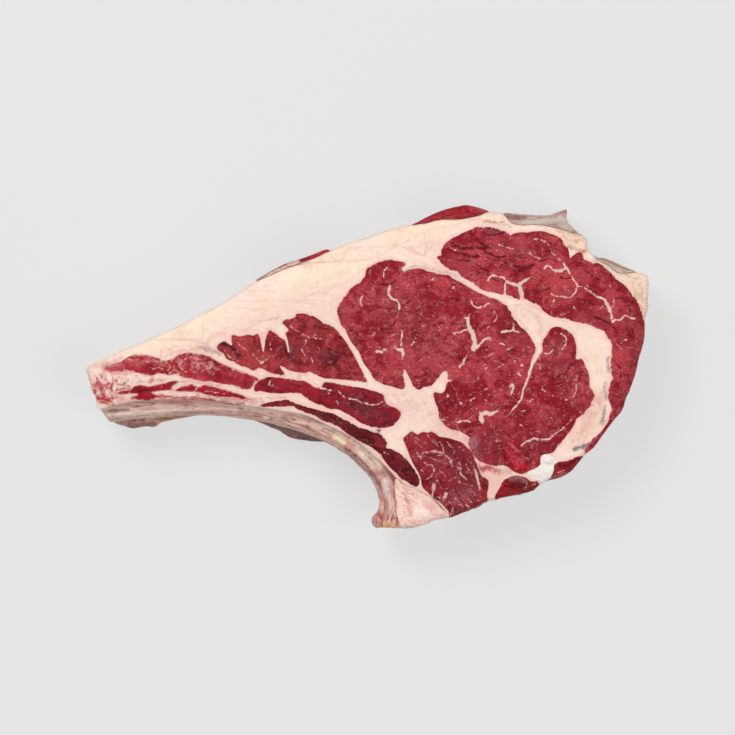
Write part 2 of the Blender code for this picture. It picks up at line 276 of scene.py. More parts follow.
BODY = (
    "86,368 100,361 120,351.5 140,343.5 160,334 180,325.5 200,314.5 220,304.5 240,292 257,281 272,274 "
    "288,267 302,262.5 316,257 330,250.5 350,243 370,236.5 380,232.5 400,227 414,224 425,222.5 440,219 "
    "459,218.5 478,215 488,211.5 503,213 507,217 512,222 522,224.5 535,224 550,226 562,229 573,232.5 "
    "583,235.5 587,240 588,247 594,255.5 601,261 609,265 617,271.5 624,273 635,271.8 645,273.8 649,280 "
    "648.5,300 649,309 645.5,319 645.5,333 643,347 640,356 637,370 632,386 626.5,399 622.5,411 614,421 "
    "603.5,435 594,448 585,455 580,461.5 572,471 561,477.5 549,480.5 541,484.5 537,488 531,491.5 518,495 "
    "503,498 495,500 486,502 479,506.5 468,511 453,517 447,517.5 446,513.5 440,506 432,499 424,494 415,489 "
    "405,485 400,481 396,478 388,469 380,461 372,454 363,446 352,438 340,431 325,424 310,417 297,413 "
    "285,411.5 270,409 253,406.5 225,402.5 200,400 175,399.5 150,400.5 130,402 110,406.5 100,409.5 98,408 "
    "96,404 95,397.5 91,390 89,382 87,375"
)


class Relief:
    """The heights that all pieces of the slice share, so that the cut face runs on from one to the next.

    Attributes:
        ring: the slice's outline, in metres.
        rib: the rib's line, beside which the edge stays square.
        gristle: the line where the cartilage meets the slice.
    """

    def __init__(self) -> None:
        """Draws the outline of the whole slice and the lines of the rib and the cartilage."""
        self.ring = smooth_line(BODY, closed=True)
        self.rib = smooth_line(RIB_LINE, closed=False)
        self.gristle = smooth_line(GRISTLE_LINE, closed=False)

    def top(self, plan: np.ndarray, edge: np.ndarray) -> np.ndarray:
        """Gives the height of the upper cut face.

        Args:
            plan: the points, in metres.
            edge: how far each lies from the slice's outline.

        Returns:
            The heights, in metres.
        """
        x, y = plan.T
        swell = 0.0007 * np.sin(2 * x / 0.041) * np.cos(2 * y / 0.033)
        shoulder = 0.0016 * np.exp(-edge / 0.007)
        # The edge stays square where bone or cartilage carries the face on
        beyond = np.minimum(distance_to(self.rib, plan)[0], distance_to(self.gristle, plan)[0] + 0.005)
        free = 0.2 + 0.8 * np.clip(beyond / 0.010 - 0.6, 0, 1)
        return THICKNESS + swell - shoulder - self.rounding(edge) * free

    def rounding(self, edge: np.ndarray) -> np.ndarray:
        """How far the cut face has dropped at this distance from the slice's outline."""
        inwards = np.clip(EDGE_ROUNDING - edge, 0, EDGE_ROUNDING)
        return EDGE_ROUNDING - np.sqrt(EDGE_ROUNDING**2 - inwards**2)


def waves(points: np.ndarray, size: float, seed: float, octaves: int = 2) -> np.ndarray:
    """Gives smooth noise over points.

    Args:
        points: the points, in metres, in plan or in space.
        size: the size of its lumps, in metres.
        seed: a shift that gives each use its own noise.
        octaves: how many finer layers it has.

    Returns:
        Values of about -1 to 1.
    """
    spots = points if points.shape[1] == 3 else np.column_stack([points, np.zeros(len(points))])
    rows = (spots / size + seed).tolist()
    return np.array([noise.fractal(row, 0.9, 2.1, octaves) for row in rows])


def deselect() -> None:
    """Leaves object mode with nothing selected."""
    if bpy.context.object and bpy.context.object.mode != "OBJECT":
        bpy.ops.object.mode_set(mode="OBJECT")
    bpy.ops.object.select_all(action="DESELECT")


def take_up(piece: bpy.types.Object) -> None:
    """Makes a piece the only selected one, and the active one."""
    deselect()
    piece.select_set(True)
    bpy.context.view_layer.objects.active = piece


def prism(
    name: str, ring: np.ndarray, low: float, high: float, levels: tuple[float, ...] = ()
) -> bpy.types.Object:
    """Extrudes a ring into a closed block.

    Args:
        name: the block's name.
        ring: its outline, in metres.
        low: the height of its underside.
        high: the height of its upper side.
        levels: heights at which its sides are cut into rows.

    Returns:
        The block's object.
    """
    curve = bpy.data.curves.new(name, "CURVE")
    curve.dimensions = "2D"
    curve.fill_mode = "BOTH"
    curve.extrude = (high - low) / 2
    spline = curve.splines.new("POLY")
    spline.points.add(len(ring) - 1)
    spline.points.foreach_set("co", np.column_stack([ring, np.zeros(len(ring)), np.ones(len(ring))]).ravel())
    spline.use_cyclic_u = True
    block = bpy.data.objects.new(name, curve)
    bpy.context.scene.collection.objects.link(block)
    take_up(block)
    bpy.ops.object.convert(target="MESH")
    block = bpy.context.object
    bpy.ops.object.mode_set(mode="EDIT")
    bpy.ops.mesh.select_all(action="SELECT")
    bpy.ops.mesh.remove_doubles(threshold=1e-6)
    bpy.ops.mesh.normals_make_consistent(inside=False)
    bpy.ops.transform.translate(value=(0.0, 0.0, (low + high) / 2))
    for level in levels:
        bpy.ops.mesh.select_all(action="SELECT")
        bpy.ops.mesh.bisect(plane_co=(0.0, 0.0, level), plane_no=(0.0, 0.0, 1.0))
    bpy.ops.object.mode_set(mode="OBJECT")
    return block


def carve(piece: bpy.types.Object, tool: bpy.types.Object, operation: str) -> None:
    """Applies a Boolean to a piece.

    Args:
        piece: the piece that changes.
        tool: the other body, which is used up.
        operation: INTERSECT or DIFFERENCE.
    """
    modifier = piece.modifiers.new("carve", "BOOLEAN")
    modifier.object = tool
    modifier.operation = operation
    modifier.solver = "MANIFOLD"
    take_up(piece)
    bpy.ops.object.modifier_apply(modifier=modifier.name)
    bpy.data.objects.remove(tool)


def gridded(name: str, light: bpy.types.Object, low: float, high: float, spacing: float) -> bpy.types.Object:
    """Gives a block's two faces a fine grid, by cutting it from a gridded board.

    Args:
        name: the new piece's name.
        light: the block, which is used up.
        low: the height of the underside.
        high: the height of the upper side.
        spacing: the grid's spacing, in metres.

    Returns:
        The gridded piece.
    """
    corners = np.array([corner[:] for corner in light.bound_box])
    lowest, highest = corners.min(0) - 2 * spacing, corners.max(0) + 2 * spacing
    size = highest - lowest
    deselect()
    bpy.ops.mesh.primitive_grid_add(
        x_subdivisions=int(size[0] / spacing),
        y_subdivisions=int(size[1] / spacing),
        size=1.0,
        location=((lowest[0] + highest[0]) / 2, (lowest[1] + highest[1]) / 2, high),
    )
    piece = bpy.context.object
    piece.name = name
    piece.data.name = name
    piece.scale = (size[0], size[1], 1.0)
    bpy.ops.object.transform_apply(location=True, rotation=True, scale=True)
    bpy.ops.object.mode_set(mode="EDIT")
    bpy.ops.mesh.select_all(action="SELECT")
    bpy.ops.mesh.extrude_region_move(TRANSFORM_OT_translate={"value": (0.0, 0.0, low - high)})
    bpy.ops.mesh.select_all(action="SELECT")
    bpy.ops.mesh.normals_make_consistent(inside=False)
    bpy.ops.object.mode_set(mode="OBJECT")
    carve(piece, light, "INTERSECT")
    return piece


def points_of(piece: bpy.types.Object) -> np.ndarray:
    """The places of a mesh's vertices, one row each."""
    points = np.empty(len(piece.data.vertices) * 3, np.float32)
    piece.data.vertices.foreach_get("co", points)
    return points.reshape(-1, 3).astype(float)


def move_points(piece: bpy.types.Object, points: np.ndarray) -> None:
    """Puts a mesh's vertices at these places."""
    piece.data.vertices.foreach_set("co", points.astype(np.float32).ravel())
    piece.data.update()


def paint(piece: bpy.types.Object, name: str, values: np.ndarray) -> None:
    """Stores one number, or one colour with its strength, for each vertex."""
    kind = "FLOAT" if values.ndim == 1 else "FLOAT_COLOR"
    layer = piece.data.attributes.new(name, kind, "POINT")
    layer.data.foreach_set("value" if kind == "FLOAT" else "color", values.astype(np.float32).ravel())


def paint_way(piece: bpy.types.Object, places: np.ndarray) -> None:
    """Stores for each vertex the coordinates that its streaks follow."""
    layer = piece.data.attributes.new("lie", "FLOAT_VECTOR", "POINT")
    layer.data.foreach_set("vector", places.astype(np.float32).ravel())


def stained_and_light_painted(plan: np.ndarray, marks: tuple[Mark, ...]) -> np.ndarray:
    """Lays coloured marks, painted shade and painted highlights over each other.

    Args:
        plan: the points, in metres.
        marks: the marks, the lowest first.

    Returns:
        The linear colour and the strength at each point.
    """
    tint = np.zeros((len(plan), 4))
    for mark in marks:
        level = mark.level(plan)
        strength = (mark.amount * level * level * (3 - 2 * level))[:, None]
        colour = np.array(linear(mark.colour)[:3])
        total = strength + tint[:, 3:] * (1 - strength)
        mixed = colour * strength + tint[:, :3] * tint[:, 3:] * (1 - strength)
        tint[:, :3] = np.where(total > 1e-6, mixed / np.maximum(total, 1e-6), tint[:, :3])
        tint[:, 3:] = total
    return tint


def swollen(plan: np.ndarray, marks: tuple[Mark, ...]) -> np.ndarray:
    """How far the swellings raise each point, in metres."""
    raised = np.zeros(len(plan))
    for mark in marks:
        level = mark.level(plan)
        raised += mark.amount * MM * level * level * (3 - 2 * level)
    return raised


def greatest(plan: np.ndarray, marks: tuple[Mark, ...]) -> np.ndarray:
    """The strongest mark's level at each point."""
    level = np.zeros(len(plan))
    for mark in marks:
        level = np.maximum(level, mark.level(plan))
    return level


def wandering(plan: np.ndarray, reach: float = 0.00042) -> np.ndarray:
    """Shifts points by up to about this reach, in metres, so that a mark drawn through them wanders."""
    shift_x = reach * waves(plan, 0.0021, 11.3, 3)
    shift_y = reach * waves(plan, 0.0021, 23.9, 3)
    return plan + np.column_stack([shift_x, shift_y])


def add(
    tree: bpy.types.NodeTree,
    kind: str,
    settings: dict[str, object] | None = None,
    links: dict[str | int, object] | None = None,
) -> bpy.types.Node:
    """Adds a shader node.

    Args:
        tree: the material's node tree.
        kind: the node's type.
        settings: its own settings.
        links: its inputs by name or place, each a value or the socket that feeds it.

    Returns:
        The node.
    """
    node = tree.nodes.new(kind)
    for name, value in (settings or {}).items():
        setattr(node, name, value)
    for name, value in (links or {}).items():
        if isinstance(value, bpy.types.NodeSocket):
            tree.links.new(value, node.inputs[name])
        else:
            node.inputs[name].default_value = value
    return node


def new_material(name: str) -> tuple[bpy.types.Material, bpy.types.NodeTree]:
    """Makes an empty node material.

    Args:
        name: the real material's name.

    Returns:
        The material and its node tree.
    """
    material = bpy.data.materials.new(name)
    material.use_nodes = True
    material.node_tree.nodes.clear()
    return material, material.node_tree


def threads(
    tree: bpy.types.NodeTree,
    place: bpy.types.NodeSocket,
    scale: float,
    width: float,
    keep: float,
    strength: float,
) -> bpy.types.NodeSocket:
    """Draws fine wandering lines that fade in and out.

    Args:
        tree: the material's node tree.
        place: the coordinates.
        scale: how many loops the lines make in a metre.
        width: their width, as a share of the noise's range.
        keep: how much of them fades out, from 0 to 1.
        strength: the strongest line's share.

    Returns:
        The lines' share at each place.
    """
    folded = add(
        tree, "ShaderNodeTexNoise", None,
        {"Vector": place, "Scale": scale, "Detail": 4.0, "Roughness": 0.6})
    off = add(tree, "ShaderNodeMath", {"operation": "SUBTRACT"}, {0: folded.outputs["Fac"], 1: 0.5})
    far = add(tree, "ShaderNodeMath", {"operation": "ABSOLUTE"}, {0: off.outputs[0]})
    line = add(tree, "ShaderNodeMapRange", {"interpolation_type": "SMOOTHSTEP"},
               {"Value": far.outputs[0], "From Min": width, "From Max": 0.0, "To Max": strength})
    moved = add(tree, "ShaderNodeVectorMath", {"operation": "ADD"}, {0: place, 1: (0.31, 0.17, 0.05)})
    mask = add(
        tree, "ShaderNodeTexNoise", None, {"Vector": moved.outputs[0], "Scale": scale * 0.9, "Detail": 2.0})
    shown = add(tree, "ShaderNodeMapRange", {"interpolation_type": "SMOOTHSTEP"},
                {"Value": mask.outputs["Fac"], "From Min": 0.30 + 0.3 * keep, "From Max": 0.42 + 0.3 * keep})
    seen = add(tree, "ShaderNodeMath", {"operation": "MULTIPLY"}, {0: line.outputs[0], 1: shown.outputs[0]})
    return seen.outputs[0]


@dataclass(frozen=True)
class MuscleFinish:
    """Raw beef muscle, freshly cut across the grain: wet and deep red, with threads and grains of fat.

    Attributes:
        name: the material's name.
        deep: the dark red that mottles the fibre bundles' cut ends, also painted into the creases and into
            the cracks between the bundles as shade.
        flesh: the colour of the redder patches.
        sheen: the paler, greyer red of the rest, partly the muscle's own paler tone and partly painted sheen
            of its wet surface.
        seam: the colour of the seams of fat in the muscle.
        fleck: the colour of its threads and grains of fat.
        grain_angle: the way in which the cut bundles are drawn out, in degrees.
        flecks: how thickly the grains of fat are sown, from 0 to 1.
        cracks: how strongly the painted shade in the cracks between the bundles shows.
        ragged_mm: how uneven the muscle's border is.
        smear_mm: over what width it fades into the fat.
    """

    name: str
    deep: str
    flesh: str
    sheen: str
    seam: str = "#ebc6bb"
    fleck: str = "#e0a6a0"
    grain_angle: float = 30.0
    flecks: float = 0.5
    cracks: float = 0.85
    ragged_mm: float = 0.5
    smear_mm: float = 0.0

    def material(self) -> bpy.types.Material:
        """Builds the material."""
        made, tree = new_material(self.name)
        place = add(tree, "ShaderNodeTexCoord").outputs["Object"]
        wander = add(tree, "ShaderNodeTexNoise", None, {"Vector": place, "Scale": 260.0, "Detail": 2.0})
        centred = add(tree, "ShaderNodeVectorMath", {"operation": "SUBTRACT"},
                      {0: wander.outputs["Color"], 1: (0.5, 0.5, 0.5)})
        shift = add(tree, "ShaderNodeVectorMath", {"operation": "SCALE"},
                    {0: centred.outputs[0], "Scale": 0.0024})
        warped = add(tree, "ShaderNodeVectorMath", {"operation": "ADD"}, {0: place, 1: shift.outputs[0]})
        grain_place = add(tree, "ShaderNodeMapping", None, {
            "Vector": warped.outputs[0],
            "Rotation": (0.0, 0.0, math.radians(self.grain_angle)),
            "Scale": (1.0, 2.2, 1.0),
        })
        # Patches of 10 to 20 mm and mottling of 3 to 5 mm, between redder flesh and a paler red that is
        # partly painted sheen
        broad = add(tree, "ShaderNodeTexNoise", None, {"Vector": place, "Scale": 60.0, "Detail": 2.0})
        mottle = add(tree, "ShaderNodeTexNoise", None,
                     {"Vector": warped.outputs[0], "Scale": 230.0, "Detail": 3.0, "Roughness": 0.6})
        patches = add(
            tree, "ShaderNodeMath", {"operation": "ADD"},
            {0: broad.outputs["Fac"], 1: mottle.outputs["Fac"]})
        patch_share = add(tree, "ShaderNodeMapRange", {"interpolation_type": "SMOOTHSTEP"},
                          {"Value": patches.outputs[0], "From Min": 0.84, "From Max": 1.16})
        flesh = add(tree, "ShaderNodeMix", MIX, {
            0: patch_share.outputs[0], MIX_A: linear(self.flesh), MIX_B: linear(self.sheen)})
        # The cut ends of the fibre bundles, 0.6 to 1.2 mm
        fine = add(tree, "ShaderNodeTexNoise", None,
                   {"Vector": grain_place.outputs[0], "Scale": 620.0, "Detail": 3.0, "Roughness": 0.7})
        fine_share = add(tree, "ShaderNodeMapRange", None,
                         {"Value": fine.outputs["Fac"], "From Min": 0.36, "From Max": 0.62})
        shade = add(tree, "ShaderNodeMapRange", None,
                    {"Value": fine_share.outputs[0], "To Min": 0.52, "To Max": 1.0})
        grained = add(tree, "ShaderNodeMix", MIX,
                      {0: shade.outputs[0], MIX_A: linear(self.deep), MIX_B: flesh.outputs[MIX_OUT]})
        stain_and_light = add(tree, "ShaderNodeAttribute", {"attribute_name": "tint"})
        stain_and_light_share = add(tree, "ShaderNodeMath", {"operation": "MULTIPLY"},
                          {0: stain_and_light.outputs["Alpha"], 1: shade.outputs[0]})
        tinted = add(tree, "ShaderNodeMix", MIX, {
            0: stain_and_light_share.outputs[0], MIX_A: grained.outputs[MIX_OUT], MIX_B: stain_and_light.outputs["Color"]})
        # The drawn creases, and the wandering ones between the bundles, both lowered and darkened towards the
        # deep colour: painted shade
        crease = add(tree, "ShaderNodeAttribute", {"attribute_name": "crease"})
        breaking = add(tree, "ShaderNodeTexNoise", None,
                       {"Vector": place, "Scale": 620.0, "Detail": 3.0, "Roughness": 0.6})
        crease_uneven = add(tree, "ShaderNodeMath", {"operation": "MULTIPLY_ADD"},
                            {0: breaking.outputs["Fac"], 1: 0.9, 2: crease.outputs["Fac"]})
        crease_share = add(
            tree, "ShaderNodeMapRange", {"interpolation_type": "SMOOTHSTEP"},
            {"Value": crease_uneven.outputs[0], "From Min": 0.72, "From Max": 1.05, "To Max": 0.9})
        long_place = add(tree, "ShaderNodeMapping", None, {
            "Vector": warped.outputs[0],
            "Rotation": (0.0, 0.0, math.radians(self.grain_angle + 70.0)),
            "Scale": (0.45, 1.0, 1.0),
        })
        cracks = threads(tree, long_place.outputs[0], 140.0, 0.021, 0.42, self.cracks)
        dark = add(tree, "ShaderNodeMath", {"operation": "MAXIMUM"}, {0: crease_share.outputs[0], 1: cracks})
        creased = add(tree, "ShaderNodeMix", MIX, {
            0: dark.outputs[0], MIX_A: tinted.outputs[MIX_OUT], MIX_B: linear(self.deep)})
        # Threads of connective tissue, and grains of fat from 0.3 mm dots to 1.5 mm dashes
        webs = threads(
            tree, warped.outputs[0], 330.0, 0.022, 0.80 - 0.30 * self.flecks, 0.28 + 0.42 * self.flecks)
        grains = add(tree, "ShaderNodeTexNoise", None,
                     {"Vector": grain_place.outputs[0], "Scale": 500.0, "Detail": 2.0, "Roughness": 0.75})
        grain_share = add(
            tree, "ShaderNodeMapRange", {"interpolation_type": "SMOOTHSTEP"},
            {
                "Value": grains.outputs["Fac"], "From Min": 0.72 - 0.10 * self.flecks,
                "From Max": 0.80 - 0.09 * self.flecks, "To Max": 0.85})
        # The drawn seams and the border break up on the same noise
        seam = add(tree, "ShaderNodeAttribute", {"attribute_name": "seam"})
        uneven = add(tree, "ShaderNodeMath", {"operation": "MULTIPLY_ADD"},
                     {0: breaking.outputs["Fac"], 1: 1.3, 2: seam.outputs["Fac"]})
        seam_share = add(tree, "ShaderNodeMapRange", {"interpolation_type": "SMOOTHSTEP"},
                         {"Value": uneven.outputs[0], "From Min": 1.08, "From Max": 1.45})
        rim = add(tree, "ShaderNodeAttribute", {"attribute_name": "rim"})
        rim_place = add(tree, "ShaderNodeMath", {"operation": "ADD"},
                        {0: breaking.outputs["Fac"], 1: wander.outputs["Fac"]})
        rim_uneven = add(tree, "ShaderNodeMath", {"operation": "MULTIPLY_ADD"},
                         {0: rim_place.outputs[0], 1: -3.0 * self.ragged_mm, 2: rim.outputs["Fac"]})
        rim_share = add(tree, "ShaderNodeMapRange", {"interpolation_type": "SMOOTHSTEP"}, {
            "Value": rim_uneven.outputs[0], "From Min": -3.0 * self.ragged_mm - 0.1,
            "From Max": -3.0 * self.ragged_mm + 0.3 + self.smear_mm, "To Min": 1.0, "To Max": 0.0})
        small = add(tree, "ShaderNodeMath", {"operation": "MAXIMUM"}, {0: webs, 1: grain_share.outputs[0]})
        large = add(
            tree, "ShaderNodeMath", {"operation": "MAXIMUM"},
            {0: seam_share.outputs[0], 1: rim_share.outputs[0]})
        fat = add(
            tree, "ShaderNodeMath", {"operation": "MAXIMUM"}, {0: small.outputs[0], 1: large.outputs[0]})
        flecked = add(tree, "ShaderNodeMix", MIX, {
            0: small.outputs[0], MIX_A: creased.outputs[MIX_OUT], MIX_B: linear(self.fleck)})
        coloured = add(tree, "ShaderNodeMix", MIX, {
            0: large.outputs[0], MIX_A: flecked.outputs[MIX_OUT], MIX_B: linear(self.seam)})
        raised = add(tree, "ShaderNodeMath", {"operation": "MULTIPLY_ADD"},
                     {0: fat.outputs[0], 1: 0.3, 2: fine_share.outputs[0]})
        height = add(tree, "ShaderNodeMath", {"operation": "MULTIPLY_ADD"},
                     {0: dark.outputs[0], 1: -0.8, 2: raised.outputs[0]})
        bump = add(
            tree, "ShaderNodeBump", None,
            {"Strength": 0.7, "Distance": 0.0003, "Height": height.outputs[0]})
        rough = add(
            tree, "ShaderNodeMapRange", None,
            {
                "Value": mottle.outputs["Fac"], "From Min": 0.35, "From Max": 0.65, "To Min": 0.30,
                "To Max": 0.52})
        shader = add(tree, "ShaderNodeBsdfPrincipled", None, {
            "Base Color": coloured.outputs[MIX_OUT],
            "Roughness": rough.outputs[0],
            "IOR": 1.38,
            "Specular IOR Level": 0.22,
            "Subsurface Weight": 0.10,
            "Subsurface Radius": (1.0, 0.25, 0.12),
            "Subsurface Scale": 0.0008,
            "Normal": bump.outputs[0],
        })
        add(tree, "ShaderNodeOutputMaterial", None, {"Surface": shader.outputs[0]})
        return made


@dataclass(frozen=True)
class FatFinish:
    """Hard beef fat: creamy, waxy and a little translucent, pinker beside the muscles.

    Attributes:
        name: the material's name.
        cream: the usual colour.
        pale: the paler colour of its lumps.
        pink: the colour beside the muscles.
        sheet: the colour of the thin sheets that lie along the muscles.
        line: the colour of its cracks and skins, also painted into its creases as shade.
        bump: how strong its finest relief is.
    """

    name: str
    cream: str = "#f4d9c5"
    pale: str = "#f9e2d2"
    pink: str = "#efc1b5"
    sheet: str = "#e8b6a6"
    line: str = "#b88a6c"
    bump: float = 0.8

    def material(self) -> bpy.types.Material:
        """Builds the material."""
        made, tree = new_material(self.name)
        place = add(tree, "ShaderNodeTexCoord").outputs["Object"]
        broad = add(
            tree, "ShaderNodeTexNoise", None,
            {"Vector": place, "Scale": 85.0, "Detail": 4.0, "Roughness": 0.6})
        broad_share = add(tree, "ShaderNodeMapRange", {"interpolation_type": "SMOOTHSTEP"},
                          {"Value": broad.outputs["Fac"], "From Min": 0.40, "From Max": 0.62})
        base = add(tree, "ShaderNodeMix", MIX,
                   {0: broad_share.outputs[0], MIX_A: linear(self.cream), MIX_B: linear(self.pale)})
        # Lobules of fat, 2 to 3 mm across, show as faint paler cells
        lobules = add(tree, "ShaderNodeTexVoronoi", {"feature": "SMOOTH_F1"},
                      {"Vector": place, "Scale": 420.0, "Smoothness": 0.6})
        lobule_share = add(
            tree, "ShaderNodeMapRange", None,
            {
                "Value": lobules.outputs["Distance"], "From Min": 0.2, "From Max": 0.8, "To Min": 0.0,
                "To Max": 0.4})
        celled = add(tree, "ShaderNodeMix", MIX,
                     {0: lobule_share.outputs[0], MIX_A: base.outputs[MIX_OUT], MIX_B: linear(self.pink)})
        # Sheets of connective tissue lie along the muscles' borders
        rim = add(tree, "ShaderNodeAttribute", {"attribute_name": "rim"})
        depth = add(tree, "ShaderNodeMath", {"operation": "MULTIPLY"}, {0: rim.outputs["Fac"], 1: 0.001})
        across = add(tree, "ShaderNodeCombineXYZ", None, {0: depth.outputs[0]})
        slow = add(tree, "ShaderNodeVectorMath", {"operation": "SCALE"}, {0: place, "Scale": 0.16})
        sheets_place = add(
            tree, "ShaderNodeVectorMath", {"operation": "ADD"}, {0: slow.outputs[0], 1: across.outputs[0]})
        sheets = add(tree, "ShaderNodeTexNoise", None,
                     {"Vector": sheets_place.outputs[0], "Scale": 620.0, "Detail": 3.0, "Roughness": 0.6})
        sheet_share = add(tree, "ShaderNodeMapRange", {"interpolation_type": "SMOOTHSTEP"},
                          {"Value": sheets.outputs["Fac"], "From Min": 0.52, "From Max": 0.68, "To Max": 0.7})
        sheeted = add(tree, "ShaderNodeMix", MIX,
                      {0: sheet_share.outputs[0], MIX_A: celled.outputs[MIX_OUT], MIX_B: linear(self.sheet)})
        breaking = add(
            tree, "ShaderNodeTexNoise", None,
            {"Vector": place, "Scale": 620.0, "Detail": 3.0, "Roughness": 0.6})
        rim_uneven = add(tree, "ShaderNodeMath", {"operation": "MULTIPLY_ADD"},
                         {0: breaking.outputs["Fac"], 1: -2.4, 2: rim.outputs["Fac"]})
        blush = add(tree, "ShaderNodeMapRange", {"interpolation_type": "SMOOTHSTEP"}, {
            "Value": rim_uneven.outputs[0], "From Min": -1.5, "From Max": 0.9, "To Min": 0.85, "To Max": 0.0})
        pinked = add(tree, "ShaderNodeMix", MIX,
                     {0: blush.outputs[0], MIX_A: sheeted.outputs[MIX_OUT], MIX_B: linear(self.pink)})
        stain_and_light = add(tree, "ShaderNodeAttribute", {"attribute_name": "tint"})
        patchy = add(
            tree, "ShaderNodeMapRange", None,
            {
                "Value": breaking.outputs["Fac"], "From Min": 0.35, "From Max": 0.6, "To Min": 0.35,
                "To Max": 1.0})
        full = add(
            tree, "ShaderNodeMapRange", None,
            {
                "Value": stain_and_light.outputs["Alpha"], "From Min": 0.7, "From Max": 0.95, "To Min": 0.0,
                "To Max": 1.0})
        kept = add(
            tree, "ShaderNodeMath", {"operation": "MAXIMUM"}, {0: patchy.outputs[0], 1: full.outputs[0]})
        stain_and_light_share = add(tree, "ShaderNodeMath", {"operation": "MULTIPLY"},
                          {0: stain_and_light.outputs["Alpha"], 1: kept.outputs[0]})
        tinted = add(tree, "ShaderNodeMix", MIX, {
            0: stain_and_light_share.outputs[0], MIX_A: pinked.outputs[MIX_OUT], MIX_B: stain_and_light.outputs["Color"]})
        # The creases are darkened towards the line colour: painted shade.
        crease = add(tree, "ShaderNodeAttribute", {"attribute_name": "crease"})
        crease_uneven = add(tree, "ShaderNodeMath", {"operation": "MULTIPLY_ADD"},
                            {0: breaking.outputs["Fac"], 1: 0.9, 2: crease.outputs["Fac"]})
        crease_share = add(
            tree, "ShaderNodeMapRange", {"interpolation_type": "SMOOTHSTEP"},
            {"Value": crease_uneven.outputs[0], "From Min": 0.75, "From Max": 1.3, "To Max": 0.26})
        coloured = add(tree, "ShaderNodeMix", MIX, {
            0: crease_share.outputs[0], MIX_A: tinted.outputs[MIX_OUT], MIX_B: linear(self.line)})
        cells = add(tree, "ShaderNodeMath", {"operation": "MULTIPLY_ADD"},
                    {0: lobules.outputs["Distance"], 1: 0.6, 2: breaking.outputs["Fac"]})
        height = add(tree, "ShaderNodeMath", {"operation": "MULTIPLY_ADD"},
                     {0: sheets.outputs["Fac"], 1: 0.8, 2: cells.outputs[0]})
        bump = add(
            tree, "ShaderNodeBump", None,
            {"Strength": self.bump, "Distance": 0.0004, "Height": height.outputs[0]})
        shader = add(tree, "ShaderNodeBsdfPrincipled", None, {
            "Base Color": coloured.outputs[MIX_OUT],
            "Roughness": 0.5,
            "IOR": 1.42,
            "Subsurface Weight": 0.25,
            "Subsurface Radius": (1.0, 0.55, 0.35),
            "Subsurface Scale": 0.0015,
            "Normal": bump.outputs[0],
        })
        add(tree, "ShaderNodeOutputMaterial", None, {"Surface": shader.outputs[0]})
        return made


@dataclass(frozen=True)
class SkinFinish:
    """The thin skin over bone, cartilage and loose sheets: smooth, damp and streaked along its length.

    Attributes:
        name: the material's name.
        pale: its usual colour.
        streak: the colour of its streaks.
        dark: the colour of its thin lines.
        stretch: how much longer than wide its streaks are.
    """

    name: str
    pale: str
    streak: str
    dark: str
    stretch: float = 9.0

    def material(self) -> bpy.types.Material:
        """Builds the material."""
        made, tree = new_material(self.name)
        lie = add(tree, "ShaderNodeAttribute", {"attribute_name": "lie"})
        place = add(tree, "ShaderNodeTexCoord").outputs["Object"]
        drawn = add(tree, "ShaderNodeMapping", None,
                    {"Vector": lie.outputs["Vector"], "Scale": (1.0 / self.stretch, 1.0, 1.0)})
        bands = add(tree, "ShaderNodeTexNoise", None,
                    {"Vector": drawn.outputs[0], "Scale": 480.0, "Detail": 4.0, "Roughness": 0.65})
        band_share = add(tree, "ShaderNodeMapRange", {"interpolation_type": "SMOOTHSTEP"},
                         {"Value": bands.outputs["Fac"], "From Min": 0.42, "From Max": 0.60})
        base = add(tree, "ShaderNodeMix", MIX,
                   {0: band_share.outputs[0], MIX_A: linear(self.pale), MIX_B: linear(self.streak)})
        thin = add(tree, "ShaderNodeTexNoise", None,
                   {"Vector": drawn.outputs[0], "Scale": 1100.0, "Detail": 3.0, "Roughness": 0.6})
        thread_share = add(tree, "ShaderNodeMapRange", {"interpolation_type": "SMOOTHSTEP"},
                           {"Value": thin.outputs["Fac"], "From Min": 0.53, "From Max": 0.63, "To Max": 0.85})
        lined = add(tree, "ShaderNodeMix", MIX,
                    {0: thread_share.outputs[0], MIX_A: base.outputs[MIX_OUT], MIX_B: linear(self.dark)})
        blotch = add(tree, "ShaderNodeTexNoise", None, {"Vector": place, "Scale": 500.0, "Detail": 3.0})
        stain_and_light = add(tree, "ShaderNodeAttribute", {"attribute_name": "tint"})
        patchy = add(
            tree, "ShaderNodeMapRange", None,
            {
                "Value": blotch.outputs["Fac"], "From Min": 0.3, "From Max": 0.6, "To Min": 0.55,
                "To Max": 1.0})
        stain_and_light_share = add(tree, "ShaderNodeMath", {"operation": "MULTIPLY"},
                          {0: stain_and_light.outputs["Alpha"], 1: patchy.outputs[0]})
        coloured = add(tree, "ShaderNodeMix", MIX, {
            0: stain_and_light_share.outputs[0], MIX_A: lined.outputs[MIX_OUT], MIX_B: stain_and_light.outputs["Color"]})
        height = add(tree, "ShaderNodeMath", {"operation": "MULTIPLY_ADD"},
                     {0: thin.outputs["Fac"], 1: 0.7, 2: bands.outputs["Fac"]})
        bump = add(
            tree, "ShaderNodeBump", None,
            {"Strength": 0.6, "Distance": 0.0004, "Height": height.outputs[0]})
        rough = add(
            tree, "ShaderNodeMapRange", None,
            {
                "Value": blotch.outputs["Fac"], "From Min": 0.3, "From Max": 0.7, "To Min": 0.32,
                "To Max": 0.5})
        shader = add(tree, "ShaderNodeBsdfPrincipled", None, {
            "Base Color": coloured.outputs[MIX_OUT],
            "Roughness": rough.outputs[0],
            "IOR": 1.42,
            "Subsurface Weight": 0.15,
            "Subsurface Radius": (1.0, 0.5, 0.35),
            "Subsurface Scale": 0.0015,
            "Normal": bump.outputs[0],
        })
        add(tree, "ShaderNodeOutputMaterial", None, {"Surface": shader.outputs[0]})
        return made


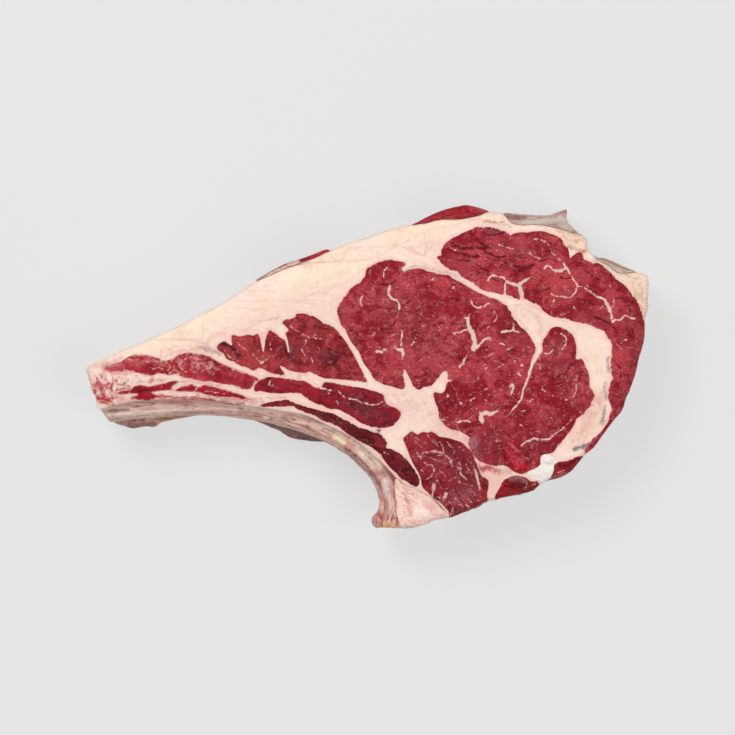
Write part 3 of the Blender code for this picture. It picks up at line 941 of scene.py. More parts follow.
def along_line(line: np.ndarray, points: np.ndarray) -> np.ndarray:
    """Gives coordinates that follow a line, for a grain that does.

    Args:
        line: the line, in metres.
        points: places in space.

    Returns:
        The place along the line, the distance from it and the height, in metres.
    """
    length = np.linalg.norm(np.diff(line, axis=0), axis=1).sum()
    distance, place = distance_to(line, points[:, :2])
    return np.column_stack([place * length, distance, points[:, 2]])


def near_ring(ring: np.ndarray, plan: np.ndarray) -> np.ndarray:
    """The distance to a closed ring, measured finely only where it is short."""
    distance = ring_distance(ring[::6], plan)
    close = distance < NEAR
    if close.any():
        distance[close] = ring_distance(ring, plan[close])
    return distance


def outwards(ring: np.ndarray, plan: np.ndarray) -> np.ndarray:
    """The outward direction of the ring at the ring point nearest to each point."""
    directions = grown(ring, 1.0) - ring
    directions /= np.linalg.norm(directions, axis=1, keepdims=True)
    nearest = np.array([((ring - spot) ** 2).sum(1).argmin() for spot in plan], int)
    return directions[nearest] if len(nearest) else np.zeros((0, 2))


def finish_piece(
    piece: bpy.types.Object, node: str, material: bpy.types.Material, sharp: float
) -> None:
    """Dresses a finished mesh and gives it its place in the object.

    Args:
        piece: the mesh object.
        node: the CAD node that it stands for.
        material: its finish.
        sharp: the angle past which an edge stays sharp, in degrees.
    """
    take_up(piece)
    bpy.ops.object.shade_smooth_by_angle(angle=math.radians(sharp))
    piece.data.materials.clear()
    piece.data.materials.append(material)
    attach(piece, "root")
    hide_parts(node)
    log.info("%s: %d faces", piece.name, len(piece.data.polygons))


def copy_node(node: str, name: str, voxel: float) -> bpy.types.Object:
    """Copies a CAD node and gives the copy an even, finer mesh.

    Args:
        node: the CAD node.
        name: the copy's name.
        voxel: the size of the new faces, in metres; 0 keeps the node's own faces.

    Returns:
        The copy, with its doubles merged.
    """
    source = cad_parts[node]
    piece = bpy.data.objects.new(name, source.data.copy())
    bpy.context.scene.collection.objects.link(piece)
    piece.data.name = name
    take_up(piece)
    bpy.ops.object.mode_set(mode="EDIT")
    bpy.ops.mesh.select_all(action="SELECT")
    bpy.ops.mesh.remove_doubles(threshold=1e-6)
    bpy.ops.object.mode_set(mode="OBJECT")
    if voxel:
        modifier = piece.modifiers.new("even", "REMESH")
        modifier.mode = "VOXEL"
        modifier.voxel_size = voxel
        bpy.ops.object.modifier_apply(modifier=modifier.name)
        soften = piece.modifiers.new("soften", "SMOOTH")
        soften.iterations = 6
        bpy.ops.object.modifier_apply(modifier=soften.name)
    for old in list(piece.data.attributes):
        if not old.is_required and not old.is_internal:
            piece.data.attributes.remove(old)
    return piece


@dataclass
class Slice:
    """The block that every tissue of the slice is cut from, with the rib's bed already cut out of it.

    Attributes:
        relief: the heights of its cut faces.
        block: the block's object, once it is built.
    """

    relief: Relief = field(default_factory=Relief)
    block: bpy.types.Object | None = None

    def build(self) -> None:
        """Extrudes the outline past both cut faces, cuts its sides into rows and cuts out the rib."""
        self.block = prism("block", self.relief.ring, -0.01, THICKNESS + 0.01, SIDE_LEVELS)
        carve(self.block, copy_node("rib_bone", "bed", 0.0), "DIFFERENCE")

    def part(self, name: str) -> bpy.types.Object:
        """A copy of the block, with its own mesh."""
        made = bpy.data.objects.new(name, self.block.data.copy())
        bpy.context.scene.collection.objects.link(made)
        return made

    def shape(self, piece: bpy.types.Object, raised: np.ndarray, edge: np.ndarray) -> None:
        """Gives a cut piece its faces' relief and its sides' bulge.

        Args:
            piece: the gridded piece.
            raised: how far each vertex stands above the shared cut face, in metres.
            edge: how far each vertex lies from the slice's outline, in metres.
        """
        points = points_of(piece)
        plan = points[:, :2].copy()
        share = points[:, 2] / THICKNESS
        top = self.relief.top(plan, edge) + raised
        bottom = self.relief.rounding(edge)
        points[:, 2] = bottom + share * (top - bottom)
        side = edge < 1e-4
        clear = np.clip(distance_to(self.relief.rib, plan[side])[0] / 0.012 - 1, 0, 1)
        uneven = 0.55 + 0.45 * waves(points[side], 0.009, 3.7, 3)
        bulge = SIDE_BULGE * clear * np.sin(np.pi * share[side]) * np.minimum(uneven, 1.0)
        bulge -= 0.00022 * clear * (1 + waves(points[side] * (1.0, 1.0, 1.6), 0.0026, 8.8, 2))
        points[side, :2] += outwards(self.relief.ring, plan[side]) * bulge[:, None]
        move_points(piece, points)

    def clear(self) -> None:
        """Removes the block."""
        bpy.data.objects.remove(self.block)


@dataclass
class Muscle:
    """One muscle, cut across and running through the slice.

    Attributes:
        node: the CAD node that it stands for.
        outline: its border on the cut face.
        finish: its material.
        slot: the record's slot; not used.
        fat: the seams of fat in it.
        folds: its creases.
        colours: its coloured marks, and the painted sheen, highlights and shade among them.
        swellings: where it stands higher.
        crown_mm: how far its middle stands above the fat.
    """

    node: str
    outline: str
    finish: MuscleFinish
    slot: Slot = Slot.MUSCLE
    fat: tuple[Mark, ...] = ()
    folds: tuple[Mark, ...] = ()
    colours: tuple[Mark, ...] = ()
    swellings: tuple[Mark, ...] = ()
    crown_mm: float = 0.8

    def build(self, steak: Slice) -> np.ndarray:
        """Cuts, shapes and dresses the muscle.

        Args:
            steak: the slice.

        Returns:
            The muscle's border, in metres.
        """
        ring = smooth_line(self.outline, closed=True)
        light = steak.part(self.node + "_light")
        carve(light, prism("cutter", grown(ring, OVERLAP), -BEYOND, THICKNESS + BEYOND), "INTERSECT")
        piece = gridded(self.node + "_cut", light, 0.0, THICKNESS, GRID)
        points = points_of(piece)
        plan = points[:, :2]
        edge = near_ring(steak.relief.ring, plan)
        rim = near_ring(ring, plan)
        inner = 1 - np.exp(-rim / 0.0009)
        drawn = wandering(plan)
        fat = greatest(drawn, self.fat)
        crease = greatest(drawn, self.folds)
        raised = self.crown_mm * MM * (1 - np.exp(-rim / 0.004)) - 0.00005 * np.exp(-rim / 0.0003)
        raised += inner * (0.00016 * waves(plan, 0.006, 1.3) + 0.00009 * waves(plan, 0.0019, 5.1))
        raised -= inner * 0.00005 * fat
        for fold in self.folds:
            raised -= fold.amount * MM * fold.level(drawn) * inner
        raised += swollen(plan, self.swellings)
        steak.shape(piece, raised, edge)
        paint(piece, "seam", fat)
        paint(piece, "crease", crease)
        paint(piece, "rim", np.where(edge < 0.0002, FAR_FROM_FAT, rim / MM))
        paint(piece, "tint", stained_and_light_painted(wandering(plan, 0.0008), self.colours))
        finish_piece(piece, self.node, self.finish.material(), CREASE_ANGLE)
        return ring


@dataclass
class FatNetwork:
    """All the fat that is grown together: the wedge, the seams between the muscles and the edge's flaps.

    Attributes:
        finish: its material.
        folds: its creases.
        colours: its coloured marks, and the painted shade among them.
        swellings: where it stands higher.
        crust: the colour of its dried outer side.
    """

    finish: FatFinish
    folds: tuple[Mark, ...]
    colours: tuple[Mark, ...]
    swellings: tuple[Mark, ...]
    crust: str = "#e6c19c"

    def build(self, steak: Slice, rings: list[np.ndarray]) -> None:
        """Cuts, shapes and dresses the fat.

        Args:
            steak: the slice.
            rings: the borders of the muscles and of the white lump.
        """
        light = steak.part("fat_light")
        for ring in rings:
            carve(light, prism("cutter", ring, -BEYOND, THICKNESS + BEYOND), "DIFFERENCE")
        piece = gridded("fat_cut", light, 0.0, THICKNESS, GRID)
        plan = points_of(piece)[:, :2]
        edge = near_ring(steak.relief.ring, plan)
        rim = np.full(len(plan), np.inf)
        for ring in rings:
            close = ((plan > ring.min(0) - NEAR) & (plan < ring.max(0) + NEAR)).all(1)
            if close.any():
                rim[close] = np.minimum(rim[close], near_ring(ring, plan[close]))
        rim = np.minimum(rim, 0.02)
        inner = 1 - np.exp(-rim / 0.0012)
        raised = inner * (0.00022 * waves(plan, 0.011, 2.9) + 0.00007 * waves(plan, 0.0022, 8.3))
        for fold in self.folds:
            raised -= fold.amount * MM * fold.level(plan) * inner
        raised += swollen(plan, self.swellings)
        steak.shape(piece, raised, edge)
        paint(piece, "crease", greatest(wandering(plan), self.folds))
        paint(piece, "rim", rim / MM)
        tint = stained_and_light_painted(wandering(plan, 0.0008), self.colours)
        points = points_of(piece)
        side = (edge < 1e-4) & (points[:, 2] > 0.001) & (points[:, 2] < THICKNESS - 0.002)
        bands = waves(points[side] * (0.22, 0.22, 1.0), 0.0026, 4.2, 3)
        spots = waves(points[side], 0.007, 9.9, 3)
        tint[side, :3] = linear(self.crust)[:3]
        tint[side, 3] = np.clip(0.30 + 0.55 * bands + 0.45 * spots, 0.0, 0.9)
        paint(piece, "tint", tint)
        finish_piece(piece, "fat", self.finish.material(), CREASE_ANGLE)


@dataclass
class Ledge:
    """A strip, skin or flap that lies against the slice's side.

    Attributes:
        node: the CAD node that it stands for.
        outline: its border in plan.
        line: the line that its grain follows.
        slot: the record's slot; not used.
        low: the height of its underside, in metres.
        high: the height of its upper side where it meets the slice.
        slope: how much it falls for each metre away from the line it hangs from.
        finish: its material.
        hang: the line that it falls away from; empty for the slice's outline.
        least: how thick it is at least, in metres.
        colours: its coloured marks, and the painted shadow among them.
    """

    node: str
    outline: str
    line: str
    slot: Slot
    low: float
    high: float
    slope: float
    finish: MuscleFinish | SkinFinish
    hang: str = ""
    least: float = 0.002
    colours: tuple[Mark, ...] = ()

    def build(self, steak: Slice) -> None:
        """Cuts, shapes and dresses the piece.

        Args:
            steak: the slice.
        """
        ring = smooth_line(self.outline, closed=True)
        light = prism(self.node + "_light", ring, -BEYOND, THICKNESS + BEYOND, LEDGE_LEVELS)
        carve(light, steak.part("cutter"), "DIFFERENCE")
        piece = gridded(self.node + "_cut", light, 0.0, THICKNESS, LEDGE_GRID)
        points = points_of(piece)
        plan = points[:, :2]
        rim = ring_distance(ring, plan)
        if self.hang:
            away = distance_to(smooth_line(self.hang, closed=False), plan)[0]
        else:
            away = ring_distance(steak.relief.ring, plan)
        share = points[:, 2] / THICKNESS
        inside = np.clip(LEDGE_ROUNDING - rim, 0, 1)
        rounding = LEDGE_ROUNDING - np.sqrt(np.maximum(LEDGE_ROUNDING**2 - inside**2, 0))
        outer = np.clip(away / 0.0006, 0, 1)
        top = self.high - self.slope * away - rounding * outer
        lumps = 0.00035 * waves(plan, 0.005, 4.4, 3) + 0.0002 * waves(plan, 0.0016, 9.2)
        top += lumps * np.clip(rim / 0.001, 0, 1)
        top = np.maximum(top, self.low + self.least)
        points[:, 2] = self.low + rounding * outer * 0.8 + share * (top - self.low - rounding * outer * 0.8)
        side = (rim < 1e-4) & (away > 0.0005)
        torn = waves(points[side], 0.006, 6.1, 3) + 0.7 * waves(points[side], 0.0016, 2.6)
        inwards = 0.0006 * (1 + torn) * np.sin(np.pi * share[side]) ** 0.5
        points[side, :2] -= outwards(ring, plan[side]) * inwards[:, None]
        move_points(piece, points)
        paint(piece, "seam", np.zeros(len(plan)))
        paint(piece, "crease", np.zeros(len(plan)))
        paint(piece, "rim", np.full(len(plan), FAR_FROM_FAT))
        paint(piece, "tint", stained_and_light_painted(plan, self.colours))
        paint_way(piece, along_line(smooth_line(self.line, closed=False), points))
        finish_piece(piece, self.node, self.finish.material(), LEDGE_CREASE_ANGLE)


@dataclass
class Bone:
    """The rib or the cartilage: the solid's form with an even mesh, ridges along it and a coloured skin.

    Attributes:
        node: the CAD node that it stands for.
        line: the line that its streaks follow.
        slot: the record's slot; not used.
        finish: its material.
        ridge_mm: how high the ridges along it are.
        lump_mm: how high its lumps are.
        colours: its coloured marks, and the painted highlights among them.
        swellings: where it stands higher.
        step_mm: how far below the cut face it ends where it meets the slice.
    """

    node: str
    line: str
    slot: Slot
    finish: SkinFinish
    ridge_mm: float
    lump_mm: float
    colours: tuple[Mark, ...] = ()
    swellings: tuple[Mark, ...] = ()
    step_mm: float = 0.3

    def build(self, steak: Slice) -> None:
        """Copies, shapes and dresses the piece.

        Args:
            steak: the slice that it lies against.
        """
        piece = copy_node(self.node, self.node + "_skin", 0.0006)
        points = points_of(piece)
        normals = np.empty(len(points) * 3, np.float32)
        piece.data.vertex_normals.foreach_get("vector", normals)
        normals = normals.reshape(-1, 3)
        spots = along_line(smooth_line(self.line, closed=False), points)
        drawn_out = spots * (0.09, 1.0, 1.0)
        rise = self.ridge_mm * MM * waves(drawn_out, 0.0016, 2.2, 3)
        rise += self.lump_mm * MM * waves(points, 0.006, 7.7, 3)
        for swelling in self.swellings:
            rise += swelling.amount * MM * swelling.level(points[:, :2])
        away = ring_distance(steak.relief.ring, points[:, :2])
        rise += 0.0005 * np.exp(-away / 0.0012)
        moved = points + normals * (rise - 0.3 * self.lump_mm * MM)[:, None]
        # Its upper side rises to the cut face where it meets the slice, so that no trench stays between them
        crest = steak.relief.top(points[:, :2], np.zeros(len(points))) - self.step_mm * MM
        beside = np.exp(-((away / 0.0020) ** 2)) * np.clip((normals[:, 2] - 0.05) / 0.35, 0, 1)
        moved[:, 2] += beside * np.clip(crest - moved[:, 2], 0, 0.0045)
        # The slice bulges at mid height only, so the wall that faces it follows it there
        clear = np.clip(distance_to(steak.relief.rib, points[:, :2])[0] / 0.012 - 1, 0, 1)
        slack = SIDE_BULGE * clear * (1 - np.sin(np.pi * np.clip(points[:, 2] / THICKNESS, 0, 1)))
        near = away < 0.004
        pull = (slack[near] + 0.0006 + 0.0002 * clear[near]) * np.clip((0.004 - away[near]) / 0.002, 0, 1)
        moved[near, :2] -= outwards(steak.relief.ring, points[near, :2]) * pull[:, None]
        move_points(piece, moved)
        paint(piece, "tint", stained_and_light_painted(wandering(points[:, :2], 0.0006), self.colours))
        paint_way(piece, spots)
        finish_piece(piece, self.node, self.finish.material(), NO_CREASE_ANGLE)


# The middle of the rib, and the line where the cartilage meets the slice
RIB_LINE = (
    "88,416 112,412 140,410 170,408 210,407 250,411 290,419 320,429 348,444 369,461 385,481 392,503 "
    "391,514 389,522 389,528"
)
GRISTLE_LINE = "398,481 408,486 420,492 432,499 442,508 449,517"

# The muscles, each with the seams, creases, coloured marks, painted sheen and shade, and swellings that the
# photo shows on it
EYE = Muscle(
    node="eye_muscle",
    outline=(
        "366,270 369,266.5 375,264 381,261.5 387,259.6 394,260 400,261.4 405,262 405.5,265 402,268.5 "
        "404,271.3 409,269.5 415,268.5 421,268.3 427,270.5 433,272 440,274 448,275 454,278 460,281.7 "
        "467,285.8 474,290 480,293 487,296 493,298 500,301 506.5,305.5 510.5,310.5 513,317 517,322 "
        "520,326.4 525,330 529,335 532.5,340.6 535.3,346 535.7,351 533,357 531,363 529.8,370 531.3,371 "
        "534,363.5 536.8,359.8 539.5,354.8 542.2,351.5 542.2,346 542.8,340.6 547,334.6 551,328.6 557,326.7 "
        "563,328 570.5,333 574.4,338.4 576.2,346 576.6,352.6 576,358.6 582,359 586,367 588.5,372.7 "
        "589.6,379.6 590.2,385.4 593.7,392 594.8,397 592.5,401 591,405.5 586.2,410.8 583.3,415.4 578,418.3 "
        "574.6,424.6 571,430.4 567,435 562,442 557.3,447.7 552.7,453 548,454.6 541,457 540,465 535,469 "
        "531,470.5 528,472 522,474 514,471.5 505,466 495,466 488,464.5 482,462.5 476,459 471.5,451 468,443 "
        "469,437.5 465,434.3 460,431.6 454,430.4 447,427.2 441.5,422 439,417.5 438.5,413.8 437.4,408 "
        "435.4,402.6 433.5,396 434.4,392.3 441,393 445,390 446.7,383 452,380 448,379.5 446.7,375 446,371 "
        "441.5,374 438.5,378 434,383 430,386.6 424,387 420,389.7 416.5,389 413,386 411,381 408,375 "
        "404.6,370 403.6,376 404.8,383 404.6,387.7 401.5,389.3 395.5,387.7 391,386.2 385,385 380,382.6 "
        "374,379 368,369 364,363.8 361,357.7 359,352.6 355.4,348 351.3,342.3 347.2,334.6 345.6,330.5 "
        "341,325 338.5,318.7 337.2,312.6 338,306.4 340.5,301.8 344.6,296 349.7,289 355.4,285 361,280.8 "
        "365,275.6"
    ),
    finish=MuscleFinish("fresh cut beef eye", "#6a0413", "#981122", "#c64650", flecks=0.75, cracks=0.8),
    fat=seams(
        (2.8, 2.6, "389.7,286 388.7,295 397,301 399.5,305"), (2.8, 0.6, "399.5,305 398.5,312.6 397,317"),
        (1.4, 2.0, "402,331 401.5,339 401,345"), (0.7, 0.8, "391,336 393,335 397,336 401,336"),
        (1.5, 3.8, "393,346 397,349 401,350.5"), (4.4, 1.2, "402,350 403,354 402,359"),
        (3.0, 2.4, "377,351.5 381.5,352.5"), (2.4, 1.6, "381.5,352.5 385.6,349.5 387.7,352"),
        (1.0, 0.8, "381,352 384,348 384,346"), (1.5, 2.4, "464,317.7 468,318.2"),
        (1.0, 2.2, "470.5,312.5 468,318.2"), (2.6, 5.0, "468,318 468,324 471,331"),
        (5.0, 5.4, "471,331 473.6,337 474.7,343 473.6,349"),
        (4.0, 1.4, "474,348.5 477,347 482,341.7 488,337.5 491,340"),
        (1.6, 2.2, "467,329.7 459.4,332 455,334"), (2.0, 1.0, "455,334 452,332.4"),
        (2.0, 1.8, "471,301 473.6,306 478,308"), (1.8, 2.2, "478,308 484.5,305.7 489,303"),
        (3.0, 2.6, "502,332.4 508.5,330.8 513.4,330.2"), (2.6, 2.0, "513.4,330.2 513.9,325 513.5,323"),
        (2.0, 0.8, "514,330.5 519,332 523.7,332"), (2.6, 1.2, "459.5,367 463.6,362 467,354 468.7,351.8"),
        (1.0, 0.8, "469,351.8 474,352 477,356"), (4.6, 4.4, "482.6,422 481,417 485.6,412"),
        (4.6, 3.0, "485.6,412 491,414 497.4,411"), (1.0, 1.4, "481,417 480,412"),
        (1.8, 2.4, "455,419.5 458,422 465,421 470,422"), (2.0, 1.6, "441.5,419.5 446.7,421"),
        (3.0, 2.4, "510.3,386 513.3,385 512.3,391"), (2.6, 1.6, "512.3,391 509.7,397"),
        (2.6, 2.6, "514.4,361"), (3.4, 3.4, "522,365"), (3.0, 3.0, "448,396"), (3.2, 3.2, "460.5,403"),
        (1.2, 1.4, "484.6,389.7 489.7,387.7"), (1.2, 1.2, "467,377 469,375"),
        (1.2, 1.2, "473.3,382 478.5,378"), (1.8, 1.2, "386.7,267.4 384,271.5 383.6,276.7"),
        (0.9, 0.9, "361.5,300 361.5,307.5"), (1.4, 1.2, "362.5,297 360,301 363,308"),
        (1.0, 1.0, "372,287 374,291 376,293"), (3.2, 2.8, "530.5,369 527.3,380 523.8,389"),
        (2.8, 1.0, "523.8,389 521.5,397 518.6,403 513.5,408.5 509.4,414 504.8,417.7"),
        (1.5, 1.5, "561.3,333.5 565.8,338.5 565,345.6 562,349"),
        (2.0, 1.6, "544,353.7 548.7,353.7 553.2,350"), (1.5, 1.4, "576.7,374 576.3,387.7 574.6,394.6"),
        (1.6, 1.0, "574.6,394.6 571,401.5"), (1.3, 1.3, "561,399.2 567.7,399.8"),
        (1.5, 1.5, "542.3,389.4 546.3,392.3"), (2.0, 2.0, "553,396"),
        (2.6, 2.2, "521.5,445 528.5,440.8 534.8,438"), (2.2, 2.4, "534.8,438 540,440 549,439"),
        (2.0, 1.0, "549,439 555,434.4 563,428 570,421.7 573,415"), (1.2, 1.0, "441,380 446,376"),
        (1.6, 1.2, "539,357 541,362 540,369"), (1.6, 1.4, "420,259 424,262"), (2.0, 1.4, "517,372 521,376"),
        (1.6, 1.6, "432,281 434,278"), (1.8, 1.4, "443,318 447,321"), (1.4, 1.4, "418,308 420,306"),
        (2.2, 2.2, "411,345 414,342"), (1.8, 1.8, "426,345"), (2.0, 1.8, "373,336 375,333"),
        (1.6, 1.6, "386,325"), (1.4, 1.4, "423,326"), (1.6, 1.2, "453,288 455,286"),
        (1.2, 1.2, "437,331 441,329"), (1.6, 1.6, "489,356 494,353"), (1.6, 1.2, "485,369 488,367"),
        (1.4, 1.4, "499,367 504,364"), (1.6, 1.6, "530,401 533,400"), (1.8, 1.8, "541,411"),
        (1.6, 1.2, "551,417 553,421"), (1.4, 1.4, "487,437"), (2.0, 2.0, "497,441"),
        (1.8, 1.4, "520,425 523,427"), (1.4, 1.4, "470,401 474,398"), (1.2, 1.2, "521,412 527,410"),
        (1.2, 1.6, "494,322 497,316 495,312"), (1.2, 1.0, "486,329 490,326"), (1.6, 1.2, "508,349 512,348"),
        (1.4, 1.2, "500,343 505,345"),
    ),
    folds=creases(
        (1.6, 0.30, "371,282 379.5,284.4 390,284.4 396,280"), (1.2, 0.25, "403,306 407,303 411,300"),
        (1.6, 0.40, "411.3,329 414.4,334.6 423.6,340.5"), (1.2, 0.25, "427,307 433,307 438,303"),
        (1.1, 0.2, "380,329 386,330 391,329"), (1.6, 0.35, "414,377 424,376 427,371"),
        (1.4, 0.3, "440.5,402.6 450,403 455,406.7"), (1.2, 0.25, "416,312 420,309 423,304"),
        (1.1, 0.2, "387,328 393,325 396,320"), (1.6, 0.3, "347,331 353,331 359,336 360,343"),
        (1.0, 0.2, "405,311 412,313 419,315"), (1.1, 0.25, "452,298 460,301 468,300"),
        (1.0, 0.2, "430,328 437,324 444,322"), (1.5, 0.35, "572,363.5 567.7,370.4 562,375 551.5,379.6"),
        (1.0, 0.25, "548,370 544.6,376"), (1.4, 0.3, "505,330 512,326 518,322 523,327"),
        (1.0, 0.2, "459,344 466,347"), (1.0, 0.2, "500,430 508,434 512,441"), (1.0, 0.2, "583,372 579,380"),
        (1.0, 0.2, "460,445 463,439"), (1.2, 0.3, "501,444 503,452 506,460"),
    ),
    colours=stains_and_painted_light(
        # The first, broad paler pink patch over the upper lobes is painted sheen.
        ("#b0505a", 0.35, 46, 18, "395,310 430,345"), ("#a84650", 0.5, 10, 6, "342,306 344,318"),
        ("#7d1626", 0.6, 15, 7, "505,308 518,330"), ("#861a2b", 0.55, 16, 8, "505,334 526,345"),
        ("#7a2530", 0.45, 8, 5, "353,336 357,343"), ("#82202e", 0.45, 22, 10, "398,384 425,382"),
        ("#8c1f2e", 0.4, 20, 12, "450,400 452,415"), ("#8d1f2d", 0.4, 24, 12, "520,440 555,425"),
        ("#aa7f83", 0.75, 11, 3, "474,442 478,453"), ("#b08a8c", 0.4, 6, 2, "404,270 410,268"),
        ("#7c1020", 0.85, 26, 8, "505,458 488,450 495,436"), ("#781222", 0.75, 20, 8, "528,452 545,445"),
        ("#b00d24", 0.95, 14, 2.5, "511,447 512,457 521,466"), ("#c8283f", 0.8, 3, 2, "507,448 506,455"),
        # The pale pink lines on the raised red lump below are partly its web of connective tissue and partly
        # painted highlight.
        ("#cc2038", 0.8, 5, 2.5, "515,463 525,466"), ("#dd9aa0", 0.75, 1.4, 0.9, "509,444 514,447 517,451"),
        ("#d2626c", 0.6, 1.6, 1.2, "514,456 519,459 521,463"),
        ("#5f0c18", 0.7, 1.6, 1.2, "527,452 530,459 526,464"),
        ("#e0707a", 0.7, 1.2, 0.8, "506,450 511,452 516,451"),
        ("#d8606a", 0.7, 1.2, 0.8, "512,460 517,463 519,468"), ("#c9838c", 0.35, 3.0, 3.0, "450,377"),
        ("#a3454d", 0.5, 20, 8, "560,345 562,365"), ("#a2434c", 0.35, 26, 12, "575,375 578,395"),
        ("#b77f80", 0.5, 3.0, 2.0, "441,380 447,375 450,377"),
    ),
    swellings=bumps(
        (1.5, 12.0, 3.0, "511,449 514,460 520,466"), (-0.5, 3.0, 2.0, "503,446 504,457 509,466"),
        (0.35, 14.0, 6.0, "343,312"), (0.3, 22.0, 9.0, "382,272"), (0.3, 24.0, 10.0, "562,348"),
    ),
)

